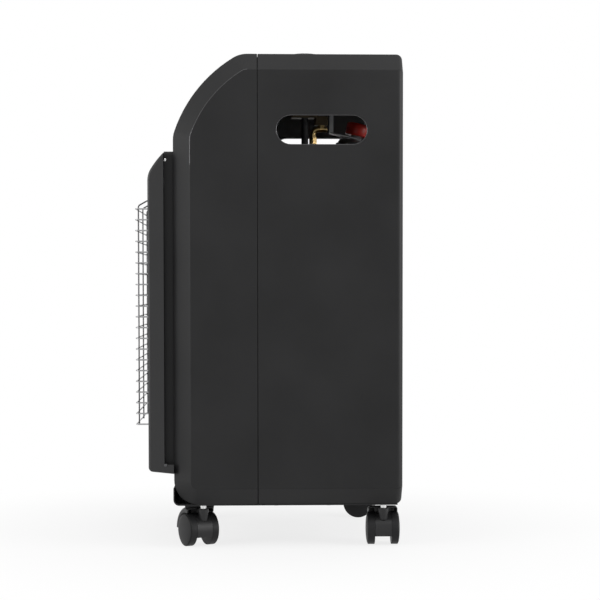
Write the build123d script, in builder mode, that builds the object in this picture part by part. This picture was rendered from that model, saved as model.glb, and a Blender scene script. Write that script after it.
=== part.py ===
"""Mobile cabinet heater for bottled gas: a sheet-steel cabinet on four twin-wheel castors.

Millimetres. +Z is up, the burner faces -Y, X runs across the width. The origin is on the floor,
below the middle of the heater's overall box.
"""
import os
from math import cos, hypot, pi, radians, sin, sqrt, tan

from build123d import *

# ---------------------------------------------------------------------------------------------
# Driving dimensions
# ---------------------------------------------------------------------------------------------
# cabinet
cabinet_width = 420
cabinet_depth = 343.5
cabinet_top = 742
cabinet_bottom = 66
sheet = 1.2
front_shell_depth = 126
seam_gap = 0.6
seam_edge_radius = 1.2
band_drop = 26
band_inset = 24
crease_radius = 2.5
front_curve_radius = 208
front_curve_rise = 122
front_curve_run = 100.4
front_curve_blend = 40
front_foot_radius = 37
seam_flange = 14
rear_flange = 18
rear_edge_radius = 9

# handle slots in both sides
slot_length = 136
slot_height = 44
slot_centre_from_rear = 121.6
slot_centre_below_top = 114.7
slot_rim_depth = 7
slot_rim_radius = 1

# burner front: neck, bezel and wire guard
neck_depth = 14
neck_inset = 14
neck_rise = 2.6
neck_corner = 6
neck_foot_gap = 2
bezel_depth = 24
bezel_side_margin = 15
bezel_bottom = 117
bezel_lip_height = 10.5
bezel_lip_fall = 4
bezel_below_top = 147.5
bezel_sheet = 1.5
bezel_crown_height = 33
bezel_crown_radius = 133
bezel_crown_blend = 33
bezel_foot_radius = 7
bezel_side_radius = 4
window_side_margin = 30
window_bottom = 174
window_below_top = 220
window_corner = 6
guard_projection = 19.5
guard_wire = 2.2
guard_rows = 21
guard_row_pitch = 16.18
guard_lowest_row = 187.4
guard_side_margin = 14
guard_upright_pitch = 100
guard_uprights = 4
guard_upright_entry = 14
guard_upright_bend = 6
guard_weld = 0.15

# radiant burners
burner_count = 3
burner_side_margin = 36
burner_gap = 6
burner_centre_height = 332
burner_box_radius = 4
burner_box_depth = 26
burner_flange = 1
plaque_side_margin = 4
plaque_height = 92
plaque_thickness = 13
plaque_proud = 8
plaque_joint = 0.8
plaque_fit = 0.3
plaque_edge = 1
plaque_ledge = 3
plaque_margin = 5
plaque_score_pitch = 9
plaque_scores = 9
plaque_score_width = 1.2
plaque_score_depth = 0.8
burner_sheet = 1
mixing_tube_diameter = 18
mixing_tube_depth = 15
mixing_tube_length = 62
mixing_tube_wall = 1
bell_diameter = 24
bell_height = 8
reflector_sheet = 0.8
reflector_setback = 0.8
reflector_side_gap = 1
reflector_throat_bottom = 214
reflector_throat_top = 450
reflector_back_margin = 5
reflector_fit = 0.5

# heat shield between the burners and the bottle bay
shield_depth = 40
shield_sheet = 1
shield_below_top = 128
shield_flange = 12
shield_fit = 0.3
shield_notch_margin = 2

# gas train
manifold_height = 142
manifold_depth = 15
manifold_diameter = 13
manifold_end = 24
manifold_wall = 2
jet_boss_height = 4
jet_boss_diameter = 11
bracket_x = 60
bracket_width = 12
jet_hex = 8
jet_length = 14
jet_bore = 1.2
supply_behind_knob = 0.6
supply_insert = 6
supply_diameter = 11
supply_bore = 8
supply_bend = 18
supply_crossing_below_top = 164
supply_from_side = 34
supply_hole_clearance = 0.5

# controls on the top
control_depth = 201.4
control_plate_length = 190
control_plate_width = 74
control_plate_thickness = 3
control_plate_corner = 8
control_plate_edge = 1
knob_diameter = 46
knob_height = 15
knob_lift = 5
knob_flutes = 16
knob_flute_radius = 2.4
knob_flute_depth = 1.6
knob_edge = 1.5
knob_rim = 4
knob_hub_diameter = 14
knob_grip = 10
knob_pointer_length = 12
knob_pointer_width = 2
knob_pointer_depth = 1
knob_travel = 4
travel_spare = 1
spindle_diameter = 8
spindle_flat = 1.2
spindle_fit = 0.05
spindle_length = 54
spindle_chamfer = 0.5
valve_width = 30
valve_length = 42
valve_low_below_top = 78
valve_high_below_top = 13
plunger_diameter = 6
plunger_length = 20
valve_neck_diameter = 22
valve_corner_radius = 3
valve_lug_width = 18
valve_lug_length = 22
igniter_offset = 60
button_diameter = 15
button_height = 10
button_travel = 5
button_fit = 0.3
igniter_diameter = 20
igniter_length = 52
igniter_flange_diameter = 25
igniter_flange_thickness = 2
igniter_flange_edge = 1
button_insert = 7
button_edge = 1.5
spade_width = 6.3
spade_thickness = 0.8
spade_length = 8

# pilot with flame sensing
pilot_lift = 8
pilot_reach = 12
pilot_shelf = 20
pilot_upstand = 12
pilot_bracket_width = 38
pilot_spacing = 11
pilot_drop = 8
pilot_rise = 14
pilot_diameter = 9
electrode_diameter = 6
electrode_rod = 2
electrode_rod_rise = 14
electrode_nose = 1
thermocouple_diameter = 5
thermocouple_rise = 21
thermocouple_tip = 1.5

# hose, inlet and regulator
hose_diameter = 13
inlet_behind_supply = 13
inlet_below_top = 95.4
inlet_diameter = 10
inlet_bend = 9
inlet_reach = 23
inlet_shoulder = 1
inlet_shoulder_diameter = 12
inlet_spigot_diameter = 8
inlet_spigot_length = 8
inlet_spigot_offset = 13
hose_nut_hex = 12
hose_nut_height = 12
nut_chamfer = 0.8
nut_below_top = 108
regulator_x = -40
regulator_depth = 286.5
regulator_below_top = 104
regulator_tilt = 13
regulator_diameter = 54
regulator_body_height = 26
regulator_neck = 18
regulator_neck_height = 8
regulator_shoulder = 6
regulator_low_edge = 3
regulator_rim_height = 12
regulator_rim_thickness = 3
regulator_rim_reach = 1.5
coupling_diameter = 34
coupling_height = 20
coupling_bore = 21.2
coupling_bore_depth = 14
coupling_groove_height = 8
coupling_groove_width = 4
coupling_groove_depth = 2
lever_diameter = 37.5
lever_height = 20
lever_lift = 1
lever_edge = 2
lever_bar_width = 11
lever_bar_height = 9
tail_angle = 205
tail_diameter = 12
tail_height = -18
hose_start_reach = 34
hanger_depth = 246
hanger_width = 18
hanger_thickness = 2
hanger_fit = 0.2
hanger_channel_depth = 6.5
hanger_foot_length = 20
hanger_low_below_top = 99
hanger_fork_height = -5
hanger_fork_arm = 4
hose_first_run = 30
hose_tangent_share = 0.45
# corners of the hose's route: across, behind the front face, above the floor
hose_corners = [
    (-128, 244, 614),
    (-149.5, 235.5, 585),
    (-157, 229.5, 549),
    (-149.5, 224.5, 513),
    (-126.5, 221, 484),
    (-93, 218.5, 468.5),
    (-57, 217, 468.5),
    (-26, 216, 485.5),
    (-8, 215.3, 516.5),
    (-1.5, 215, 552),
    (0, 215, 588),
]
clamp_set_back = 8
clamp_width = 9
clamp_band = 1.2
clamp_fit = 0.05
clamp_ear_length = 9
clamp_ear_spread = 2.2
clamp_ear_angle = 24

# rear panel
panel_gap = 1.6
panel_fold = 12
panel_sheet = 1.2
panel_recess = 0.4
louvre_length = 62
louvre_height = 6
louvre_rows = 5
louvre_columns = 3
louvre_pitch = 20
louvre_column_pitch = 90
louvre_low_row = 132
louvre_high_row_below_top = 180
panel_tab_width = 40
panel_tab_drop = 9
panel_tab_spacing = 240
panel_grip_diameter = 26
panel_grip_below_top = 48

# base tray and screws
tray_thickness = 2
tray_side_margin = 24
tray_front_overhang = 1.4
tray_lip_height = 24
tray_corner_radius = 9
tray_rear_inset = 6
tray_screw_diameter = 9
tray_screw_height = 2.2
tray_screw_edge = 1
tray_screw_depths = (153.7, 234)
tray_screw_from_side = 42

# castors
wheel_diameter = 50
wheel_width = 10.2
wheels_inner_gap = 25.6
wheel_shoulder = 1.5
wheel_inner_shoulder = 1
wheel_groove_width = 1.2
wheel_groove_depth = 1
wheel_cap_diameter = 42
wheel_cap_edge = 1
wheel_cap_dome = 2
axle_diameter = 6
axle_fit = 0.05
axle_depth_in_wheel = 7.5
axle_end_gap = 1
castor_trail = 17
castor_height = 58
hood_gap = 4
hood_wall = 4
web_clearance = 0.5
web_radius = 24.5
web_floor_gap = 14.5
hood_reach = 22
hood_low_angle = 0
hood_high_angle = 104
hood_edge = 1.2
boss_diameter = 16
boss_cone_height = 13
boss_tip_diameter = 10
boss_tip_height = 40
stem_diameter = 9.5
stem_bore_depth = 16
stem_fit = 0.05
stem_above_floor = 30
stem_chamfer = 0.6
socket_diameter = 16
socket_fit = 0.2
front_stem_depth = 43
rear_stem_from_rear = 26.5
stem_from_side = 40
# direction in which each castor trails: degrees from +X, anticlockwise seen from above
castor_headings = {
    "front_right": 207,
    "rear_right": 180,
    "front_left": 270,
    "rear_left": 258,
}

# ---------------------------------------------------------------------------------------------
# Places worked out from the dimensions
# ---------------------------------------------------------------------------------------------
front_reach = neck_depth + bezel_depth + guard_projection
face_y = (front_reach - cabinet_depth) / 2
rear_y = face_y + cabinet_depth
seam_y = face_y + front_shell_depth
bezel_back_y = face_y - neck_depth
bezel_face_y = bezel_back_y - bezel_depth
guard_y = face_y - front_reach + guard_wire / 2
half_width = cabinet_width / 2
front_curve_start = cabinet_top - front_curve_rise
slot_centre_height = cabinet_top - slot_centre_below_top
shield_top = cabinet_top - shield_below_top
supply_crossing_height = cabinet_top - supply_crossing_below_top
valve_bottom = cabinet_top - valve_low_below_top
valve_top = cabinet_top - valve_high_below_top
inlet_height = cabinet_top - inlet_below_top
nut_top = cabinet_top - nut_below_top
regulator_height = cabinet_top - regulator_below_top
hanger_low = cabinet_top - hanger_low_below_top
louvre_high_row = cabinet_top - louvre_high_row_below_top
panel_grip_height = cabinet_top - panel_grip_below_top
bezel_top = cabinet_top - bezel_below_top
window_top = cabinet_top - window_below_top
top_inside = cabinet_top - sheet
floor_inside = cabinet_bottom + sheet
control_y = face_y + control_depth
slot_y = rear_y - slot_centre_from_rear
upright_top = guard_lowest_row + (guard_rows - 1) * guard_row_pitch + guard_upright_entry
burner_z = burner_centre_height
window_z = (window_bottom + window_top) / 2
window_height = window_top - window_bottom
bezel_width = cabinet_width - 2 * bezel_side_margin
window_width = bezel_width - 2 * window_side_margin
burner_pitch = (bezel_width - 2 * burner_side_margin) / burner_count
burner_box_width = burner_pitch - burner_gap
plaque_width = burner_box_width - 2 * plaque_side_margin
reflector_throat_width = (burner_count - 1) * burner_pitch + burner_box_width + 2 * reflector_side_gap
manifold_length = (burner_count - 1) * burner_pitch + 2 * manifold_end
pilot_x = burner_pitch / 2
plaque_pair_height = 2 * plaque_height + plaque_joint


def burner_xs():
    """Centres of the burners across the width."""
    first = -(burner_count - 1) / 2 * burner_pitch
    return [first + i * burner_pitch for i in range(burner_count)]


def row_heights():
    """Heights of the guard's horizontal wires."""
    return [guard_lowest_row + i * guard_row_pitch for i in range(guard_rows)]


def upright_xs():
    """Places of the guard's uprights across the width."""
    first = -(guard_uprights - 1) / 2 * guard_upright_pitch
    return [first + i * guard_upright_pitch for i in range(guard_uprights)]


def inset_leg(leg, other, wall):
    """Leg of a chamfer on the inner face of a wall, for an outer chamfer with legs leg and other."""
    return leg * (1 + wall * (sqrt(1 / leg**2 + 1 / other**2) - 1 / leg - 1 / other))


def arc_centre(low, high, radius):
    """Centre of an arc that rises backwards from low to high, both (y, z), and bulges to the front."""
    run = high[0] - low[0]
    rise = high[1] - low[1]
    chord = hypot(run, rise)
    reach = sqrt(radius**2 - (chord / 2) ** 2)
    return low[0] + run / 2 + reach * rise / chord, low[1] + rise / 2 - reach * run / chord


def save(part, label):
    """Name a finished piece and write it to its own STEP file."""
    part.label = label
    export_step(part, f"parts/{label}.step")


def tube_between(x, y, z_low, z_high, outer, inner=0):
    """Upright round bar or tube."""
    with BuildPart() as bar:
        with BuildSketch(Plane.XY.offset(z_low)):
            with Locations((x, y)):
                Circle(outer / 2)
                if inner:
                    Circle(inner / 2, mode=Mode.SUBTRACT)
        extrude(amount=z_high - z_low)
    return bar.part


os.makedirs("parts", exist_ok=True)


# ---------------------------------------------------------------------------------------------
# Cabinet: front shell
# ---------------------------------------------------------------------------------------------
def front_shell_solid(wall):
    """Closed solid of the front shell, drawn in by wall on every side."""
    front = face_y + wall
    back = seam_y - wall
    low = cabinet_bottom + wall
    high = cabinet_top - wall
    radius = front_curve_radius - wall
    centre_y, centre_z = arc_centre(
        (face_y, front_curve_start), (face_y + front_curve_run, cabinet_top), front_curve_radius
    )
    start_z = centre_z + sqrt(radius**2 - (centre_y - front) ** 2)
    end_y = centre_y - sqrt(radius**2 - (high - centre_z) ** 2)
    with BuildPart() as solid:
        with BuildSketch(Plane.YZ) as side:
            with BuildLine():
                low_edge = Polyline((back, low), (front, low), (front, start_z))
                crown = RadiusArc(low_edge @ 1, (end_y, high), radius)
                Polyline(crown @ 1, (back, high), (back, low))
            make_face()
            foot = side.vertices().sort_by_distance((front, low))[0]
            fillet(foot, front_foot_radius - wall)
            ends = [side.vertices().sort_by_distance(p)[0] for p in ((front, start_z), (end_y, high))]
            fillet(ends, front_curve_blend)
        extrude(amount=half_width - wall, both=True)
        for end in (Axis.X, -Axis.X):
            cheek = solid.faces().sort_by(end)[-1]
            rim = [e for e in cheek.edges() if e.center().Y < back - 0.01]
            chamfer(rim, inset_leg(band_drop, band_inset, wall), inset_leg(band_inset, band_drop, wall),
                    reference=cheek)
    return solid


def floor_gap_sketch():
    """Front view of the stretch of floor where the seam's flanges are left out."""
    with Locations((0, floor_inside)):
        Rectangle(2 * (half_width - band_inset - seam_flange), 2 * seam_flange, align=(Align.CENTER, Align.MIN))


def hoop_sketch(inset):
    """Front view of the cabinet's hoop: a rectangle with its four corners cut, drawn in by inset."""
    leg_x = inset_leg(band_inset, band_drop, inset)
    leg_z = inset_leg(band_drop, band_inset, inset)
    x = half_width - inset
    low = cabinet_bottom + inset
    high = cabinet_top - inset
    return Polyline(
        (-x + leg_x, low), (x - leg_x, low), (x, low + leg_z), (x, high - leg_z),
        (x - leg_x, high), (-x + leg_x, high), (-x, high - leg_z), (-x, low + leg_z), close=True,
    )


outer_front = front_shell_solid(0)
inner_front = front_shell_solid(sheet)
with BuildPart() as front_shell:
    add(outer_front.part)
    creases = front_shell.edges().filter_by(
        lambda e: abs(abs(e.center().X) - half_width) < 0.01 and e.center().Y < seam_y - 1
    )
    fillet(creases, crease_radius)
    seam_rim = front_shell.faces().sort_by(Axis.Y)[-1].edges()
    fillet(seam_rim, seam_edge_radius)
    add(inner_front.part, mode=Mode.SUBTRACT)
    # the seam side is open inside its return flange
    with BuildSketch(Plane.XZ.offset(-seam_y)):
        with BuildLine():
            hoop_sketch(seam_flange)
        make_face()
        floor_gap_sketch()
    extrude(amount=3 * sheet, mode=Mode.SUBTRACT)
    # opening for the burner, and a hole for each castor stem
    with BuildSketch(Plane.XZ.offset(-face_y)):
        with Locations((0, window_z)):
            Rectangle(window_width, window_height)
    extrude(amount=-3 * sheet, both=True, mode=Mode.SUBTRACT)
    with BuildSketch(Plane.XY.offset(cabinet_bottom)):
        with GridLocations(2 * (half_width - stem_from_side), 1, 2, 1):
            with Locations((0, face_y + front_stem_depth)):
                Circle(socket_diameter / 2)
    extrude(amount=2 * sheet, both=True, mode=Mode.SUBTRACT)
save(front_shell.part, "front_shell")


# ---------------------------------------------------------------------------------------------
# Cabinet: rear body with a handle slot in each side
# ---------------------------------------------------------------------------------------------
body_front_y = seam_y + seam_gap
stem_places = {
    "front_right": (half_width - stem_from_side, face_y + front_stem_depth),
    "rear_right": (half_width - stem_from_side, rear_y - rear_stem_from_rear),
    "front_left": (-half_width + stem_from_side, face_y + front_stem_depth),
    "rear_left": (-half_width + stem_from_side, rear_y - rear_stem_from_rear),
}
rear_stems = [stem_places["rear_right"], stem_places["rear_left"]]
with BuildPart() as rear_cabinet:
    with BuildSketch(Plane.XZ.offset(-body_front_y)):
        with BuildLine():
            hoop_sketch(0)
        make_face()
    extrude(amount=body_front_y - rear_y)
    fillet(rear_cabinet.edges().filter_by(Axis.Y), crease_radius)
    fillet(rear_cabinet.faces().sort_by(Axis.Y)[-1].edges(), rear_edge_radius)
    fillet(rear_cabinet.faces().sort_by(Axis.Y)[0].edges(), seam_edge_radius)
    # inside of the sheet
    with BuildSketch(Plane.XZ.offset(-body_front_y - sheet)):
        with BuildLine():
            hoop_sketch(sheet)
        make_face()
    extrude(amount=body_front_y - rear_y + rear_edge_radius, mode=Mode.SUBTRACT)
    with BuildSketch(Plane.XZ.offset(rear_edge_radius - sheet - rear_y)):
        with BuildLine():
            hoop_sketch(rear_edge_radius)
        make_face()
    extrude(amount=2 * sheet - rear_edge_radius, mode=Mode.SUBTRACT)
    # open front and back, inside the flanges
    with BuildSketch(Plane.XZ.offset(-body_front_y)):
        with BuildLine():
            hoop_sketch(seam_flange)
        make_face()
        floor_gap_sketch()
    extrude(amount=-2 * sheet, both=True, mode=Mode.SUBTRACT)
    with BuildSketch(Plane.XZ.offset(-rear_y)):
        with BuildLine():
            hoop_sketch(rear_flange)
        make_face()
    extrude(amount=rear_edge_radius, both=True, mode=Mode.SUBTRACT)
    for side in (1, -1):
        slot_plane = Plane(
            origin=(side * half_width, slot_y, slot_centre_height), x_dir=(0, 1, 0), z_dir=(side, 0, 0)
        )
        with BuildSketch(slot_plane):
            SlotOverall(slot_length + 2 * sheet, slot_height + 2 * sheet)
        extrude(amount=-slot_rim_depth)
        with BuildSketch(slot_plane):
            SlotOverall(slot_length, slot_height)
        extrude(amount=-slot_rim_depth, both=True, mode=Mode.SUBTRACT)
        slot_rim = rear_cabinet.faces().sort_by(Axis.X)[-1 if side == 1 else 0].inner_wires()
        fillet(slot_rim[0].edges(), slot_rim_radius)
    with BuildSketch(Plane.XY.offset(cabinet_bottom)):
        with Locations(*rear_stems):
            Circle(socket_diameter / 2)
    extrude(amount=2 * sheet, both=True, mode=Mode.SUBTRACT)
    with BuildSketch(Plane.XY.offset(cabinet_top)):
        with Locations((0, control_y)):
            Circle(spindle_diameter)
        with Locations((igniter_offset, control_y)):
            Circle(igniter_diameter / 2 + button_fit)
    extrude(amount=-2 * sheet, both=True, mode=Mode.SUBTRACT)
save(rear_cabinet.part, "rear_cabinet")

# ---------------------------------------------------------------------------------------------
# Base tray with its upturned front lip
# ---------------------------------------------------------------------------------------------
tray_bottom = cabinet_bottom - tray_thickness
tray_front_y = face_y - tray_front_overhang
tray_rear_y = rear_y - tray_rear_inset
with BuildPart() as base_tray:
    with BuildSketch(Plane.YZ) as tray_side:
        with BuildLine():
            Polyline(
                (tray_rear_y, tray_bottom), (tray_front_y, tray_bottom),
                (tray_front_y, cabinet_bottom + tray_lip_height),
                (tray_front_y + tray_thickness, cabinet_bottom + tray_lip_height),
                (tray_front_y + tray_thickness, cabinet_bottom), (tray_rear_y, cabinet_bottom), close=True,
            )
        make_face()
        outer_corner = tray_side.vertices().sort_by_distance((tray_front_y, tray_bottom))[0]
        fillet(outer_corner, tray_corner_radius)
        inner_corner = tray_side.vertices().sort_by_distance((tray_front_y + tray_thickness, cabinet_bottom))[0]
        fillet(inner_corner, tray_corner_radius - tray_thickness)
    extrude(amount=half_width - tray_side_margin, both=True)
    fillet(base_tray.edges().filter_by(Axis.Y).group_by(Axis.Z)[0], tray_thickness / 2)
    with BuildSketch(Plane.XY.offset(cabinet_bottom)):
        with Locations(*stem_places.values()):
            Circle(socket_diameter / 2)
    extrude(amount=-2 * tray_thickness, both=True, mode=Mode.SUBTRACT)
save(base_tray.part, "base_tray")

with BuildPart() as tray_screws:
    for x in (-half_width + tray_screw_from_side, half_width - tray_screw_from_side):
        for depth in tray_screw_depths:
            with BuildSketch(Plane.XY.offset(tray_bottom - tray_screw_height)):
                with Locations((x, face_y + depth)):
                    Circle(tray_screw_diameter / 2)
            extrude(amount=tray_screw_height)
    chamfer(tray_screws.faces().filter_by(Axis.Z).group_by(Axis.Z)[0].edges(), tray_screw_edge)
save(tray_screws.part, "tray_screws")

# ---------------------------------------------------------------------------------------------
# Rear panel: a shallow tray that hooks over the cabinet's lower rear flange
# ---------------------------------------------------------------------------------------------
panel_face_y = rear_y - panel_recess
panel_inset = rear_flange + panel_gap
panel_low = cabinet_bottom + panel_inset
with BuildPart() as rear_panel:
    with BuildSketch(Plane.XZ.offset(-panel_face_y)):
        with BuildLine():
            hoop_sketch(panel_inset)
        make_face()
    extrude(amount=panel_fold)
    fillet(rear_panel.faces().sort_by(Axis.Y)[-1].edges(), panel_sheet)
    with BuildSketch(Plane.XZ.offset(panel_sheet - panel_face_y)):
        with BuildLine():
            hoop_sketch(panel_inset + panel_sheet)
        make_face()
    extrude(amount=panel_fold, mode=Mode.SUBTRACT)
    with BuildSketch(Plane.XZ.offset(-panel_face_y)):
        for row in (louvre_low_row, louvre_high_row):
            with Locations((0, row + (louvre_rows - 1) / 2 * louvre_pitch)):
                with GridLocations(louvre_column_pitch, louvre_pitch, louvre_columns, louvre_rows):
                    SlotOverall(louvre_length, louvre_height)
        with Locations((0, panel_grip_height)):
            Circle(panel_grip_diameter / 2)
    extrude(amount=2 * panel_sheet, mode=Mode.SUBTRACT)
    # hooks behind the lower flange
    hook_top = panel_low + panel_sheet
    hook_back_y = rear_y - sheet - panel_gap / 2
    with BuildSketch(Plane.XY.offset(hook_top)):
        with Locations((-panel_tab_spacing / 2, hook_back_y), (panel_tab_spacing / 2, hook_back_y)):
            Rectangle(panel_tab_width, panel_sheet, align=(Align.CENTER, Align.MAX))
    extrude(amount=-panel_tab_drop - panel_sheet)
save(rear_panel.part, "rear_panel")

# ---------------------------------------------------------------------------------------------
# Heat shield between the burner chamber and the bottle bay
# ---------------------------------------------------------------------------------------------
shield_y = face_y + shield_depth
with BuildPart() as heat_shield:
    with BuildSketch(Plane.XZ.offset(-shield_y)):
        with BuildLine():
            hoop_sketch(sheet + shield_fit)
        make_face()
        with Locations((0, shield_top)):
            Rectangle(cabinet_width, cabinet_top, align=(Align.CENTER, Align.MIN), mode=Mode.SUBTRACT)
    extrude(amount=-shield_sheet)
    fold_x = half_width - sheet - shield_fit
    fold_low = cabinet_bottom + band_drop + sheet
    for side in (1, -1):
        with BuildSketch(Plane.XZ.offset(-shield_y)):
            with Locations((side * fold_x, fold_low)):
                Rectangle(shield_sheet, shield_top - fold_low,
                          align=(Align.MAX if side == 1 else Align.MIN, Align.MIN))
        extrude(amount=-shield_flange)
    with BuildSketch(Plane.XZ.offset(-shield_y)):
        with Locations((0, supply_crossing_height)):
            Circle(supply_diameter / 2 + supply_hole_clearance)
        with Locations((-half_width + stem_from_side, cabinet_bottom), (half_width - stem_from_side, cabinet_bottom)):
            Rectangle(socket_diameter + 2 * shield_notch_margin, 2 * (stem_above_floor + shield_notch_margin + sheet))
    extrude(amount=2 * shield_sheet, both=True, mode=Mode.SUBTRACT)
save(heat_shield.part, "heat_shield")


# ---------------------------------------------------------------------------------------------
# Burner front: neck and bezel
# ---------------------------------------------------------------------------------------------
neck_width = bezel_width - 2 * neck_inset
neck_low = bezel_bottom + neck_foot_gap
neck_high = bezel_top + neck_rise
neck_z = (neck_low + neck_high) / 2
with BuildPart() as burner_neck:
    with BuildSketch(Plane.XZ.offset(-face_y)):
        with Locations((0, neck_z)):
            RectangleRounded(neck_width, neck_high - neck_low, neck_corner)
    extrude(amount=neck_depth)
    with BuildSketch(Plane.XZ.offset(-face_y)):
        with Locations((0, neck_z)):
            RectangleRounded(neck_width - 2 * sheet, neck_high - neck_low - 2 * sheet, neck_corner - sheet)
    extrude(amount=neck_depth - sheet, mode=Mode.SUBTRACT)
    with BuildSketch(Plane.XZ.offset(-bezel_back_y)):
        with Locations((0, window_z)):
            Rectangle(window_width, window_height)
    extrude(amount=-2 * sheet, both=True, mode=Mode.SUBTRACT)
save(burner_neck.part, "burner_neck")


def bezel_block(wall):
    """Closed solid of the bezel, drawn in by wall on every side but its back and the top of its lip."""
    front = bezel_face_y + wall
    low = bezel_bottom + wall
    lip_top = bezel_bottom + bezel_lip_height
    radius = bezel_crown_radius - wall
    centre_y, centre_z = arc_centre(
        (bezel_face_y, bezel_top - bezel_crown_height), (bezel_back_y, bezel_top), bezel_crown_radius
    )
    start_z = centre_z + sqrt(radius**2 - (centre_y - front) ** 2)
    end_z = centre_z + sqrt(radius**2 - (centre_y - bezel_back_y) ** 2)
    with BuildPart() as block:
        with BuildSketch(Plane.YZ) as side:
            with BuildLine():
                crown = RadiusArc((front, start_z), (bezel_back_y, end_z), radius)
                Polyline(
                    crown @ 1, (bezel_back_y, lip_top), (face_y, lip_top), (face_y, low - bezel_lip_fall),
                    (front, low), crown @ 0,
                )
            make_face()
            foot = side.vertices().sort_by_distance((front, low))[0]
            fillet(foot, bezel_foot_radius - wall)
            brow = side.vertices().sort_by_distance((front, start_z))[0]
            fillet(brow, bezel_crown_blend - wall)
        extrude(amount=bezel_width / 2 - wall, both=True)
        cheeks = [block.faces().sort_by(axis)[-1] for axis in (Axis.X, -Axis.X)]
        rims = [e for cheek in cheeks for e in cheek.edges() if e.center().Y < bezel_back_y - 0.01]
        fillet(rims, bezel_side_radius - wall)
    return block


def window_sketch(grow):
    """The bezel's window, larger by grow all round."""
    with Locations((0, window_z)):
        RectangleRounded(window_width + 2 * grow, window_height + 2 * grow, window_corner + grow)


with BuildPart() as bezel:
    add(bezel_block(0).part)
    add(bezel_block(bezel_sheet).part, mode=Mode.SUBTRACT)
    # the window's reveal runs back to the neck
    with BuildSketch(Plane.XZ.offset(-bezel_back_y)):
        window_sketch(bezel_sheet)
    extrude(amount=bezel_depth - bezel_sheet)
    with BuildSketch(Plane.XZ.offset(-bezel_back_y)):
        window_sketch(0)
    extrude(amount=bezel_depth, both=True, mode=Mode.SUBTRACT)
save(bezel.part, "bezel")

# ---------------------------------------------------------------------------------------------
# Wire guard: horizontal wires with their ends turned back to the bezel, and uprights welded behind them
# ---------------------------------------------------------------------------------------------
guard_end_x = bezel_width / 2 - guard_side_margin
with BuildPart() as guard_wires:
    for z in row_heights():
        with BuildLine():
            path = Polyline(
                (-guard_end_x, bezel_face_y, z), (-guard_end_x, guard_y, z),
                (guard_end_x, guard_y, z), (guard_end_x, bezel_face_y, z),
            )
        with BuildSketch(Plane(origin=path @ 0, z_dir=path % 0)):
            Circle(guard_wire / 2)
        sweep(path=path, transition=Transition.RIGHT)
save(guard_wires.part, "guard_wires")

upright_y = guard_y + guard_wire - guard_weld
with BuildPart() as guard_uprights_part:
    for x in upright_xs():
        with BuildLine():
            path = Polyline(
                (x, upright_y, guard_lowest_row - guard_wire / 2),
                (x, upright_y, upright_top - guard_upright_entry + guard_upright_bend),
                (x, bezel_face_y - guard_wire, upright_top), (x, bezel_face_y, upright_top),
            )
        with BuildSketch(Plane(origin=path @ 0, z_dir=path % 0)):
            Circle(guard_wire / 2)
        sweep(path=path, transition=Transition.RIGHT)
save(guard_uprights_part.part, "guard_uprights")

# ---------------------------------------------------------------------------------------------
# Reflector: a splayed tray between the bezel's window and the burners
# ---------------------------------------------------------------------------------------------
reflector_front_y = bezel_face_y + reflector_setback
reflector_back_y = face_y
throat_height = reflector_throat_top - reflector_throat_bottom
throat_z = (reflector_throat_top + reflector_throat_bottom) / 2
mouth_width = window_width - 2 * reflector_fit
mouth_height = window_height - 2 * reflector_fit


def reflector_funnel(grow, front_y, back_y):
    """Splayed block from the mouth to the throat, larger by grow all round."""
    with BuildPart() as funnel:
        with BuildSketch(Plane.XZ.offset(-front_y)):
            with Locations((0, window_z)):
                RectangleRounded(mouth_width + 2 * grow, mouth_height + 2 * grow, window_corner + grow)
        with BuildSketch(Plane.XZ.offset(-back_y)):
            with Locations((0, throat_z)):
                RectangleRounded(reflector_throat_width + 2 * grow, throat_height + 2 * grow,
                                 window_corner + grow)
        loft(ruled=True)
    return funnel.part


with BuildPart() as reflector:
    add(reflector_funnel(0, reflector_front_y, reflector_back_y - reflector_sheet))
    add(reflector_funnel(-reflector_sheet, reflector_front_y, reflector_back_y - reflector_sheet),
        mode=Mode.SUBTRACT)
    with BuildSketch(Plane.XZ.offset(-reflector_back_y)):
        with Locations((0, throat_z)):
            Rectangle(neck_width - 2 * (sheet + reflector_back_margin), throat_height + 2 * reflector_back_margin)
        with Locations(*[(x, burner_z) for x in burner_xs()]):
            Rectangle(plaque_width + 2 * plaque_fit, plaque_pair_height + 2 * plaque_fit, mode=Mode.SUBTRACT)
    extrude(amount=reflector_sheet)
save(reflector.part, "reflector")

# ---------------------------------------------------------------------------------------------
# Three burners: a sheet box, two ceramic plaques and a mixing tube each
# ---------------------------------------------------------------------------------------------
box_half_height = plaque_pair_height / 2 + plaque_fit + burner_sheet
box_half_width = plaque_width / 2 + plaque_fit + burner_sheet
plaque_back_y = face_y - plaque_proud + plaque_thickness
tube_y = face_y + mixing_tube_depth


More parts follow.
